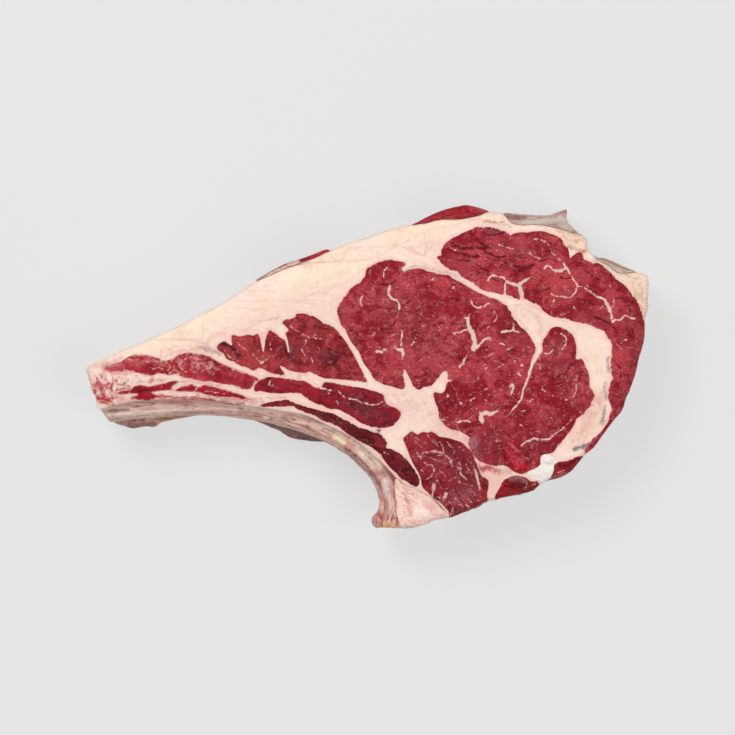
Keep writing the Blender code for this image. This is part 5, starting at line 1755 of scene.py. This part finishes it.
# The fat between and round them
FAT = FatNetwork(
    finish=FatFinish("hard beef fat"),
    folds=creases(
        (1.1, 0.15, "232,303 240,297 248,291.5 258,291 275,292"),
        (1.0, 0.15, "244,331 250,328 258,323 263,321 280,317"),
        (1.6, 0.35, "285,268 300,264.5 312,262.5 330,262 345,261 360,260.5 372,260"),
        (1.2, 0.25, "372,260 385,253 395,247 402,244"),
        (1.2, 0.2, "402,244 415,237 430,230 442,227 454,225.6 462.7,223 475.8,219.6"),
        (1.4, 0.3, "482,222 495,221.8 505,223.4"), (1.6, 0.5, "566.7,235.3 571,238 574.7,240.6 581,238.8"),
        (2.4, 0.8, "569.4,246 574.7,249.2 581,251 586,251.4"),
        (1.3, 0.3, "560,230 566,231.5 573,234 580,237"), (1.2, 0.3, "620,275 626,276 630,279"),
        (1.0, 0.2, "634,280 636,290 635,300"), (1.0, 0.2, "641,281 643,292 642,303"),
        (1.2, 0.25, "609,365 606,372 605,380"), (1.0, 0.15, "336,300 331,310 335,322"),
        (1.0, 0.15, "380,262 366,268 355,277 345,288"), (0.9, 0.15, "522,308 530,314 537,320 541,327"),
        (0.9, 0.15, "602,392 599,404 596,414"), (0.9, 0.15, "588,424 583,433 575,442"),
        (1.0, 0.2, "590,322 600,326"), (0.9, 0.12, "415,240 425,243 432,241"),
        (0.9, 0.12, "540,318 549,320"), (0.9, 0.12, "411,395 413,404 409,412"),
        (0.9, 0.12, "421,396 424,405 428,412"), (1.1, 0.3, "548,229.5 556,231 562,234"),
        (0.9, 0.15, "540,232.5 548,231"),
    ),
    colours=stains_and_painted_light(
        ("#e9b3a6", 0.75, 16, 8, "440,426 466,446 478,470 492,484"),
        ("#e0a999", 0.75, 12, 6, "600,398 590,420 578,438"),
        ("#efc6ba", 0.55, 26, 12, "385,395 400,410 425,405"),
        ("#e9b9ac", 0.5, 10, 5, "486,470 493,485 494,498"),
        ("#f3e0c6", 0.7, 26, 10, "105,366 150,345 190,328 225,311"),
        ("#f6e4c9", 0.7, 26, 12, "285,288 320,275 350,262"),
        ("#f5dfc6", 0.6, 16, 8, "380,243 420,232 455,224"),
        ("#f1cfc3", 0.6, 22, 12, "290,305 310,300 325,312"),
        ("#efc9c0", 0.55, 16, 8, "262,318 240,328 225,335"),
        ("#f3d2c8", 0.7, 20, 8, "408,395 415,412 425,420"),
        ("#f6ddd0", 0.5, 14, 7, "405,425 395,436 400,445"),
        ("#f8e3cf", 0.6, 22, 8, "590,338 600,350 600,365"), ("#f3d8c8", 0.6, 12, 6, "575,440 560,452"),
        ("#e6c8b2", 0.8, 16, 6, "630,283 640,298 645,305"),
        ("#efd6c3", 0.6, 6, 3, "635,275 646,282 647,298"),
        ("#bd8b66", 0.95, 1.3, 0.9, "617,273.6 626,274.6 634,278.4 640,276.6"),
        # The tan and dark brown lines along the flap's folds, here and in the next two lines, are painted
        # shade.
        ("#c0906c", 0.95, 1.6, 1.0, "563,236.5 570,240.5 577,241.3 585,239"),
        ("#d9b08c", 0.95, 1.4, 1.0, "556,231 566,233.5 576,236.5 586,237.5"),
        ("#8a3a30", 0.95, 1.8, 1.0, "569,247 576,250.4 582,251.6 587,251.4"),
        ("#e7b89a", 0.5, 5, 3, "573,236 581,243 586,249"),
        ("#c79a78", 0.4, 4, 3, "497,222.5 505,224.5 511,226"),
        ("#8b5a44", 0.55, 2.0, 1.6, "483,222.3 490,222 497,223"),
        # The tan line along the layer's fold is painted shade.
        ("#c49370", 0.35, 1.8, 1.6, "288,267.5 312,262.8 340,262"),
        ("#f8ead6", 0.6, 5, 3, "571,255 573,252 577,249"),
        ("#a9969a", 0.95, 3.2, 1.6, "608.3,358 608,366 608.5,371"),
        ("#a39094", 0.95, 3.4, 1.6, "605,384 604.5,391 606.5,398"),
        ("#93797c", 0.95, 4.2, 1.8, "605,407 603.5,415 602,423"),
        ("#8f7376", 1.0, 4.4, 1.4, "574,449.5 581,447.5 589,443.5"),
        ("#a38a8e", 0.55, 1.8, 1.0, "405,269.5 412,266.8 420,266.5 428,268 440,272"),
        ("#a08a8e", 0.5, 1.6, 1.0, "440,272.2 450,273.6 458,278 466,283.5"),
        ("#b49a9b", 0.4, 2.0, 1.4, "513,312 519,320 527,329"),
        ("#d79a93", 0.4, 5, 3, "538,319 541,327 540,333"),
        ("#8d6a70", 0.9, 3.6, 2.4, "201,347 206,349 212,351 219,354"),
        ("#b98a8c", 0.6, 5, 3, "207,344.5 199,346"), ("#c8907f", 0.6, 5, 2.5, "90,367.5 97,366 104,366.5"),
        ("#e3bfb4", 0.8, 9, 4, "90,374 94,383 99,381"), ("#e3b3ac", 0.75, 8, 3, "104,376 112,382 124,378"),
        ("#d59a94", 0.75, 12, 5, "100,386 108,394 118,398"),
        ("#c57470", 0.7, 4, 2.5, "104,371 118,372.5 130,373.5"),
        ("#c9807a", 0.7, 4, 3, "120,358.5 112,361.5 104,365"),
        ("#bb4148", 0.85, 3.4, 1.6, "95,386.5 101,385 108,384.5"),
        ("#b02c37", 0.95, 4.6, 1.5, "95,391.5 101,389 107,388.5"),
        ("#a81f2c", 0.95, 7.0, 1.8, "98,398 105,398.5 111,400"),
        ("#c4151f", 0.95, 2.8, 1.0, "103,396.5 109,399 112,402"),
        ("#6f1019", 0.9, 1.6, 0.9, "93,394 99,394.5 105,393"),
        ("#7c131d", 0.9, 1.6, 0.9, "99,402 104,402 108,404"),
        ("#dda39c", 0.85, 1.8, 1.2, "92,397 96,401 101,405"),
        ("#f0d6cb", 0.8, 1.6, 1.1, "96,388.5 103,392 108,392.5"),
        ("#b03a42", 0.9, 2.2, 1.3, "110,371 112.5,377 111,383"),
        ("#b8474d", 0.8, 1.8, 1.2, "106,376 108,382"),
        ("#9e1c29", 0.95, 3.6, 1.4, "119,385 124,384.5 127.5,380.5"),
        ("#8c1420", 0.95, 2.4, 1.1, "117,389.5 123,389 127,386"),
        ("#c35a5c", 0.8, 2.4, 1.4, "115,381 119,379 124,379"), ("#c98480", 0.6, 4, 3, "114,395 122,398"),
        ("#f4ddd0", 0.7, 4, 2.4, "128,377.5 145,380 165,377.5 178,378"),
        ("#d08680", 0.7, 2.2, 1.6, "136,382.5 150,381 166,379.5"),
        ("#c4706d", 0.7, 1.8, 1.3, "180,380.5 200,383 222,386.5"),
        ("#b2555a", 0.75, 2.0, 1.4, "150,394.5 162,396.5 176,397.5 196,398"),
        ("#9a3038", 0.8, 1.4, 1.0, "150,398.5 165,400 182,399.5 196,400"),
        ("#8a3a44", 0.75, 3.0, 1.6, "196,397.5 210,400 226,400.5"),
        ("#cf9a94", 0.7, 3.0, 1.8, "226,399 250,402.5 262,403"),
        ("#d8a79c", 0.6, 4.0, 2.5, "118,402 140,401.5 160,400.8"),
        ("#cf8f88", 0.6, 3.0, 2.0, "160,357 172,353.5 184,350.5 198,350"),
        ("#e9d3c0", 0.5, 3, 2, "110,404.5 130,402 145,400.5"),
        ("#9c3a40", 0.6, 1.6, 1.2, "150,395 160,397.5 172,398.8 186,398.5"),
        ("#c58f8c", 0.45, 4, 2.5, "170,396 190,396 210,399"),
        ("#a5433f", 0.55, 1.5, 1.2, "252,399.5 265,397.8 285,397.6"),
        ("#e5b7ab", 0.5, 3.2, 2.0, "205,400 225,401 245,403.5"),
        ("#caa08e", 0.4, 3, 2, "350,436.5 365,446 380,459"),
        # The near-black spot that starts the next line is painted shade.
        ("#0e0707", 0.95, 2.8, 1.0, "378,431 380,430.6"), ("#b8323c", 0.9, 8, 3, "482,468 490,467 498,470"),
        ("#eec9bf", 0.8, 2.2, 1.2, "481,463.5 490,465 498,468"),
        ("#9c5b60", 0.6, 4, 2.4, "502,471 508,470"), ("#a02a36", 0.7, 6.0, 2.2, "485,481 485,487"),
        ("#a02a36", 0.6, 4.0, 2.0, "484,495 487,499"), ("#ecc6b6", 0.6, 8, 4, "494,482 493,492"),
        ("#ba6468", 0.45, 5, 3, "500,474 511,472"),
        ("#e7b9ae", 0.6, 4, 3, "447,426 458,434 467,441 473,453"),
        ("#e0aaa4", 0.45, 6, 4, "389,404 396,407 402,410"), ("#7b5a48", 0.6, 1.6, 1.0, "378,252"),
        ("#8a6a55", 0.5, 1.3, 1.0, "226,311"), ("#8a6a55", 0.5, 1.3, 1.0, "318,283"),
        ("#8a5a50", 0.6, 1.4, 1.0, "411,407"),
        # The tan line along this fold is painted shade.
        ("#b08878", 0.35, 1.4, 1.2, "244,331 252,327.5 263,321 280,317"),
        ("#c9998a", 0.4, 1.6, 1.4, "305,298 318,292 333,296"),
        ("#efd7d2", 0.5, 9, 4, "598,262 606,266 614,271"),
        ("#cbb9ae", 0.7, 5, 2.4, "596,259.5 604,263.5 612,268"),
        ("#dfb9ab", 0.5, 2.4, 1.6, "641,352 638,364 635,376 631,388"),
        ("#c9a488", 0.95, 0.9, 0.8, "631,277 634,290 634,304"),
        ("#c6a083", 0.95, 0.9, 0.8, "639,279 642,294 642,312"),
        ("#d3b095", 0.95, 0.9, 0.8, "645,281 646.5,300 645,322"),
        ("#f4e4d2", 0.95, 1.6, 1.0, "627,277.5 637,281 643,279"),
        ("#b9937c", 0.95, 1.3, 0.9, "498,222.8 505,224.8 511,226.4"),
        ("#a8745a", 0.95, 1.1, 0.8, "484,221.6 491,221 498,222.4 504,221"),
        ("#a32e3a", 0.95, 1.7, 0.9, "146,393.6 160,395.4 178,396.6 196,397.8 214,400"),
        ("#8c3a46", 0.95, 2.2, 1.2, "184,400.2 200,400.8 222,402 244,404"),
        ("#ad4a50", 0.95, 1.3, 0.9, "214,396.5 232,399.5 252,401.6"),
        ("#b8656a", 0.95, 1.2, 0.8, "120,404.2 140,401.8 160,400.9 184,400.6"),
    ) + blots(
        3.1, ("#ac323c", 0.95, 16, 4, "99,381 110,384 124,388"),
        ("#a82530", 0.95, 9, 3, "97,394 106,398 113,402"),
        ("#d08c86", 0.8, 12, 4, "108,367 130,371 150,376"),
        ("#c56a69", 0.75, 3.2, 1.8, "128,383 150,381.5 166,380"),
        ("#c06063", 0.75, 5, 2.5, "130,400.5 150,399 178,398 200,400"),
        ("#cf8f88", 0.8, 7, 3, "196,395 230,400 260,402"),
        ("#d99a92", 0.7, 6, 3, "160,352 180,348 200,348 225,357"),
        ("#d79f96", 0.7, 6, 3, "262,383 285,375 310,376"),
    ) + blots(
        7.7, ("#f3ddd2", 0.85, 11, 4, "98,376 110,379 124,383"),
        ("#efcfc5", 0.9, 8, 3, "97,390 108,394 116,400"),
        ("#e0aca2", 0.45, 18, 6, "400,395 416,405 436,420"),
        ("#d8a198", 0.55, 8, 4, "445,425 462,436 474,452"),
        ("#d9b496", 0.8, 14, 5, "638,284 641,302 642,316"),
        ("#dcaaa0", 0.6, 8, 4, "552,330 545,345 536,362"),
        ("#d79d92", 0.6, 8, 4, "596,400 585,424 570,444"),
    ),
    swellings=bumps(
        (0.9, 13.0, 5.0, "563,235 573,238 582,244"), (-0.8, 3.0, 2.0, "570,247 577,250.5 586,252"),
        (0.5, 40.0, 20.0, "300,295"), (-0.35, 8.0, 5.0, "285,268 330,262 372,260"),
        (0.3, 22.0, 10.0, "250,310"), (0.4, 16.0, 7.0, "600,350"), (-0.9, 20.0, 8.0, "636,278 644,300"),
        (-0.6, 6.0, 4.0, "600,262 616,270"), (0.3, 16.0, 8.0, "412,405"),
        (-0.5, 5.0, 3.0, "604,395 601,420"), (0.35, 8.0, 4.0, "590,300"),
        (-0.5, 4.0, 3.0, "505,223 520,227"),
    ),
)


# The strips of outer muscle, the skins and the flap that lie against the slice's sides
OUTER = MuscleFinish("dark outer beef", "#5c0813", "#ac1e2a", "#c83c46", flecks=0.1)

SKIN = SkinFinish("damp connective skin", "#c6b0a4", "#b29186", "#8d5f4b", stretch=5.0)

LEFT_STRIP = Ledge(
    node="left_strip",
    outline=(
        "256,280.5 263,275.5 272,270.3 286,263.2 300,258.8 312,254.5 325,249.4 330,250.3 333,253.5 318,260 "
        "303,266 290,270 274,277"
    ),
    line="257,279 286,264 325,250",
    slot=Slot.MUSCLE,
    low=0.0006,
    high=0.0372,
    slope=0.15,
    finish=OUTER,
    colours=stains_and_painted_light(
        ("#ecccb8", 0.98, 9, 1.2, "258,281 275,273.5 288,268 297,265.5"),
        ("#6e3a30", 0.95, 1.6, 0.9, "256,280.5 270,271.5 286,263.5"),
        ("#cdb4ac", 0.95, 4.4, 1.6, "289,262 298,260"),
        # The brown line along the strip's fold is painted shadow.
        ("#b0785c", 0.95, 1.4, 0.9, "287,269.5 298,267 308,263.5"),
        ("#7c1420", 0.95, 3.6, 1.2, "301,260 308,258"),
        ("#c89a90", 0.8, 1.6, 1.0, "300,263 314,259.5 330,253"),
    ),
)

TOP_STRIP = Ledge(
    node="top_strip",
    outline=(
        "411,225.3 418,221.5 426,217.3 435,213 443,210 451,207.6 459,205.9 467,204.8 480,207.6 488,210.8 "
        "490,215 480,219 462,223 440,224 425,226.5 414,228"
    ),
    line="413,224 435,214 460,208 488,212",
    slot=Slot.MUSCLE,
    low=0.0008,
    high=0.0376,
    slope=0.12,
    finish=OUTER,
    colours=stains_and_painted_light(
        ("#7c1a25", 0.6, 4, 2, "420,221 440,212 465,206"),
        ("#a53842", 0.5, 3, 2, "440,216 462,214 482,212"), ("#8a6a68", 0.7, 1.8, 1.4, "477,208 486,211"),
    ),
)

TOP_MEMBRANE = Ledge(
    node="top_membrane",
    outline=(
        "503,214.5 507,212.6 520,213.6 534,214.6 548,214.8 556,212.6 561,210.6 567.5,209.2 567.5,220 "
        "575,229 583,235.8 587,240 583,243 560,236 530,229 505,225"
    ),
    line="505,216 535,218 565,216",
    slot=Slot.MEMBRANE,
    low=0.0008,
    high=0.0366,
    slope=0.5,
    finish=SKIN,
    colours=stains_and_painted_light(
        ("#7a4a44", 0.9, 5, 2, "508,216.5 518,217.5 525,217.5"),
        ("#b8998c", 0.6, 3, 2, "528,216 548,216.5 562,213"),
        ("#a9673f", 0.7, 2.4, 1.6, "563,212 567.5,210.5"),
        ("#c9c0ba", 0.7, 6, 3, "525,222 545,221 560,220 570,227"),
    ),
)

SIDE_MEMBRANE = Ledge(
    node="side_membrane",
    outline=(
        "594,255 598,257.2 604,257.8 609,259.3 617,262.8 623,265.8 630,268.6 636,271.5 636,276 620,276 "
        "604,267 596,260"
    ),
    line="596,257 612,262 632,271",
    slot=Slot.MEMBRANE,
    low=0.0008,
    high=0.0368,
    slope=0.3,
    finish=SKIN,
    colours=stains_and_painted_light(
        ("#a87c5a", 0.9, 2.8, 1.4, "599,258.4 608,260.6 618,265 627,269.5"),
        ("#c9b8ae", 0.8, 3.6, 2, "600,262.5 610,266.5 618,271"),
    ),
)

FLAP_SKIN = SkinFinish("skinned rib meat", "#b69088", "#986c64", "#66322b", stretch=3.0)

RIB_FLAP = Ledge(
    node="rib_flap",
    outline=(
        "100,411 98.5,412 103.5,416.5 108,421 113,424.6 121,427 128,429.2 134,428.8 140,427.6 146,427.4 "
        "149,428.2 153,427 157,424 162,422.3 170,420.5 180,418.7 200,415.3 210,414.3 230,415 238,416.2 "
        "245,418.2 253,421.3 262,425 270,428.6 278,431.6 282,434.6 288,438 295,440.2 303,441.3 313,442.6 "
        "325,443 331,444 337,447 343.5,450.5 348,454.6 354,461.6 359,466.6 365,470 368,473.4 374,468 "
        "352,438 310,418 262,405 190,399.5 130,402.5"
    ),
    line=RIB_LINE,
    slot=Slot.DARK_MUSCLE,
    low=0.0,
    high=0.0087,
    slope=0.42,
    finish=FLAP_SKIN,
    hang=RIB_LINE,
    least=0.0022,
    colours=stains_and_painted_light(
        ("#8a6a5e", 0.6, 5, 3, "125,425 145,424 155,423"),
        ("#cb9c80", 0.85, 2.4, 1.6, "108,418 122,423 140,423 158,420"),
        ("#a86e5c", 0.8, 3.6, 2, "158,420.5 178,417.5 198,414.5"),
        ("#d0a892", 0.7, 3, 2, "103,417 112,423 124,427"),
        ("#8c6463", 0.7, 8, 4, "258,423 285,430 315,438"),
        ("#6b1f22", 0.8, 2.6, 1.6, "279,432.5 290,439 305,441 322,443 334,446"),
        ("#5c2a2a", 0.8, 4, 2.5, "348,454 358,464 366,471"),
    ) + blots(
        6.7, ("#deb094", 0.95, 7, 2.5, "103,415 113,421 128,424 146,422 160,420"),
        ("#8c5650", 0.85, 7, 2.5, "118,426 134,427 150,426"),
        ("#c48c70", 0.8, 5, 2, "160,420 185,417 205,414"),
    ),
)

# The rib and the cartilage
RIB = Bone(
    node="rib_bone",
    line=RIB_LINE,
    slot=Slot.BONE,
    finish=SkinFinish("rib in its skin", "#e2c2b2", "#cb8d82", "#8c3c39", stretch=9.0),
    ridge_mm=0.42,
    lump_mm=0.3,
    colours=stains_and_painted_light(
        ("#dccbbf", 0.75, 6, 3, "108,414 130,413 160,411 190,409.5"),
        ("#e6d5c8", 0.6, 3.0, 2.0, "110,417 140,416 170,414"),
        ("#dab0a6", 0.75, 4.0, 2.0, "100,409 130,403 170,401 210,402.5"),
        ("#b07a78", 0.6, 1.0, 0.8, "112,408.5 135,405.5 160,404 190,402.8"),
        ("#7a3034", 0.7, 1.6, 1.2, "108,411.5 118,411 128,410"),
        ("#a85c5c", 0.5, 1.2, 1.0, "140,410.5 165,409 190,408"),
        ("#a8764a", 0.75, 3.4, 1.8, "156,418.5 178,416 198,413.5"),
        ("#c7a184", 0.75, 4.0, 2.5, "101,411 106,418 116,424"),
        ("#b88a6a", 0.5, 2.0, 1.4, "103,414 112,421"), ("#d3a7a0", 0.6, 5.0, 3.0, "200,403.5 225,405"),
        ("#e2cdc0", 0.7, 2.6, 2.0, "196,410 215,409 236,411"),
        ("#8e3136", 0.75, 1.6, 1.1, "240,412 255,414 270,417 289,420.5"),
        ("#a0555a", 0.7, 1.8, 1.4, "286,415 305,420"), ("#93404a", 0.6, 2.0, 1.4, "282,417 292,419.5"),
        ("#96504f", 0.6, 1.6, 1.2, "300,425 318,430 335,437"),
        ("#ddb9ad", 0.6, 3.0, 2.0, "255,408 280,413 305,419 330,429"),
        ("#c8a189", 0.7, 2.2, 1.6, "240,415 262,420 285,425"),
        ("#d6a88c", 0.6, 2.6, 1.8, "310,429 330,437 348,449"),
        ("#f0ddb8", 0.95, 4.0, 1.2, "334,436.5 338,439.5 344,443.5"),
        # The three small near-white spots in this line and the next are painted highlights.
        ("#f6ebe2", 0.9, 1.8, 1.0, "264,418 268,418.5"), ("#f3e3d6", 0.9, 1.6, 1.0, "336,446 338,447"),
        ("#f6e9df", 0.9, 2.2, 1.0, "360,453 363,455"),
        ("#8a4f4b", 0.75, 1.8, 1.2, "345,446 358,457 368,468"),
        ("#9b625a", 0.7, 1.4, 1.1, "352,443 366,455 378,468"),
        ("#6f3334", 0.8, 2.0, 1.2, "351,455 358,464 366,471"),
        ("#e3cfc2", 0.75, 2.6, 1.6, "350,441 366,453 379,466"),
        ("#9a4f58", 0.75, 8, 4, "376,473 388,474 396,480"),
        ("#cfc8c2", 0.9, 4.4, 2.0, "385,481 386,490 384.5,499"),
        ("#8d5560", 0.6, 2.2, 1.6, "380,480 380,490 380,500"),
        ("#a06d70", 0.65, 4.0, 2.5, "391,484 393,494"), ("#d9b9b0", 0.6, 5, 3, "397,484 402,496"),
        ("#93433f", 0.8, 8.0, 3.5, "397,500 400,510 402,518"), ("#b98078", 0.5, 4, 3, "388,505 389,514"),
        ("#8c4a45", 0.7, 2.0, 1.5, "384,500 386,510 384,518"),
        ("#9c2a2e", 0.8, 6.0, 2.5, "378,514 382,519"), ("#b87a6a", 0.7, 5.0, 2.0, "376,521 380,526"),
        ("#d19a5c", 0.8, 3.6, 2.0, "383,528 392,525 400,524 408,527"),
        ("#ecd5ba", 0.7, 2.6, 1.6, "380,528 388,529 398,529"),
        ("#5b3230", 0.8, 1.5, 0.9, "370.5,473 375,479 376.5,485"),
        ("#f0e0d0", 0.8, 1.6, 1.0, "401,492 404,499 406,505"),
    ) + blots(
        5.3, ("#b5885f", 0.9, 9, 3, "102,413 112,421 124,425"),
        ("#eadbc9", 0.9, 5, 2, "101,411 108,417 120,421"),
        ("#7d3c3a", 0.8, 5, 2, "345,448 360,461 374,476"),
        ("#a33038", 0.9, 9, 3, "398,495 399,508 398,518"),
        ("#ecd2be", 0.85, 6, 2, "352,441 368,455 380,468"),
        ("#c17f3e", 0.9, 5, 2, "380,526 392,526 406,527"),
        ("#c9706a", 0.75, 8, 3, "378,484 382,500 380,512"),
    ),
    swellings=bumps(
        (0.25, 4.0, 2.0, "396,480 396,505 400,526"), (1.0, 7.0, 3.0, "377,521"),
        (0.5, 4.0, 2.0, "386,482 386,498"), (-0.5, 3.0, 2.0, "391,498 393,510"), (0.6, 6.0, 3.0, "395,526"),
        (-0.4, 4.0, 2.0, "385,512 386,520"), (0.35, 3.0, 2.0, "338,440"),
        (0.5, 5.0, 2.0, "103,412 108,420"),
    ),
)

CARTILAGE = Bone(
    node="cartilage",
    line="400,486 420,500 440,515",
    slot=Slot.CARTILAGE,
    finish=SkinFinish("wet rib cartilage", "#f5d8cb", "#efc4b7", "#dfa297", stretch=2.2),
    ridge_mm=0.12,
    lump_mm=0.4,
    colours=stains_and_painted_light(
        ("#f3dccd", 0.75, 5, 3, "404,482 420,488 436,500 448,511"),
        ("#c06a68", 0.6, 3.6, 2.5, "406,494 409,505 411,514"), ("#f8e9e0", 0.8, 8, 4, "418,512 426,514"),
        ("#dc9a95", 0.6, 4, 3, "425,505 436,511"),
        ("#c98a52", 0.75, 2.6, 1.6, "406,529.5 418,529.5 430,525"),
        ("#6b3a36", 0.85, 1.2, 0.8, "405,499 408,503"),
        ("#e3bcae", 0.6, 2.0, 1.5, "412,492 424,500 436,509"), ("#f1dac9", 0.7, 3, 2, "437,512 447,516"),
    ),
    swellings=bumps(
        (0.6, 11.0, 5.0, "420,513"), (-0.4, 3.0, 2.0, "410,492 412,505 412,517"),
        (0.85, 4.0, 2.0, "397,480 397,505 401,526"),
    ),
)


@dataclass
class Studio:
    """The pale floor, the soft light and the camera that looks straight down.

    Attributes:
        lens_mm: the camera's focal length.
        floor: the floor's colour.
        glow: how strongly the floor is lit from below.
        drop: how far under the steak it lies, so that the two faces don't share a plane.
        sensor_mm: the width of the camera's sensor.
        sky: the strength of the light from all round.
    """

    lens_mm: float = 250.0
    floor: str = "#767676"
    glow: float = 0.60
    drop: float = 0.0001
    sensor_mm: float = 36.0
    sky: float = 0.30

    def build(self) -> None:
        """Lays the floor, hangs the lights and sets the camera."""
        deselect()
        bpy.ops.mesh.primitive_plane_add(size=6.0, location=(0.0, 0.0, -self.drop))
        board = bpy.context.object
        board.name = "studio_floor"
        made, tree = new_material("matte painted board")
        # The board is lit from below as well, as a light table is, so that the shadow stays faint
        shader = add(tree, "ShaderNodeBsdfPrincipled", None, {
            "Base Color": linear(self.floor), "Roughness": 0.9, "Specular IOR Level": 0.1,
            "Emission Color": (1.0, 1.0, 1.0, 1.0), "Emission Strength": self.glow})
        add(tree, "ShaderNodeOutputMaterial", None, {"Surface": shader.outputs[0]})
        board.data.materials.append(made)
        self.light("key", (-0.75, 0.85, 1.5), 0.9, 22.0)
        self.light("fill", (1.05, -0.45, 1.5), 1.1, 14.0)
        world = bpy.data.worlds.new("studio")
        bpy.context.scene.world = world
        world.use_nodes = True
        sky = world.node_tree.nodes["Background"].inputs
        sky["Color"].default_value = (1.0, 1.0, 1.0, 1.0)
        sky["Strength"].default_value = self.sky
        camera = bpy.data.cameras.new("camera")
        camera.lens = self.lens_mm
        camera.sensor_width = self.sensor_mm
        camera.clip_end = 20.0
        seat = bpy.data.objects.new("camera", camera)
        distance = PICTURE * UNIT * self.lens_mm / self.sensor_mm
        across = (PICTURE / 2 - CENTRE[0]) * UNIT
        along = (CENTRE[1] - PICTURE / 2) * UNIT
        seat.location = (across, along, THICKNESS + distance)
        bpy.context.scene.collection.objects.link(seat)
        bpy.context.scene.camera = seat
        bpy.context.scene.view_settings.view_transform = "Standard"

    def light(self, name: str, place: tuple[float, float, float], size: float, power: float) -> None:
        """Hangs one square light that faces the steak.

        Args:
            name: the light's name.
            place: where it hangs, in metres.
            size: its side, in metres.
            power: its power, in watts.
        """
        lamp = bpy.data.lights.new(name, "AREA")
        lamp.size = size
        lamp.energy = power
        hung = bpy.data.objects.new(name, lamp)
        hung.location = place
        hung.rotation_euler = (Vector(place) - Vector((0.0, 0.0, 0.02))).to_track_quat("Z", "Y").to_euler()
        bpy.context.scene.collection.objects.link(hung)


def main() -> None:
    """Builds the steak's pieces in order, and then the studio."""
    logging.basicConfig(level=logging.INFO, format="%(name)s %(message)s")
    bpy.context.scene.cursor.location = (0.0, 0.0, 0.0)
    steak = Slice()
    steak.build()
    rings = []
    for muscle in (EYE, CAP, FLANK, UPPER_RIB, LONG_RIB, INNER_RIB, INTERCOSTAL, MARBLED, LOWER, TAIL, LUMP):
        rings.append(muscle.build(steak))
    FAT.build(steak, rings)
    for ledge in (LEFT_STRIP, TOP_STRIP, TOP_MEMBRANE, SIDE_MEMBRANE, RIB_FLAP):
        ledge.build(steak)
    for bone in (RIB, CARTILAGE):
        bone.build(steak)
    steak.clear()
    Studio().build()


if __name__ == "__main__":
    main()
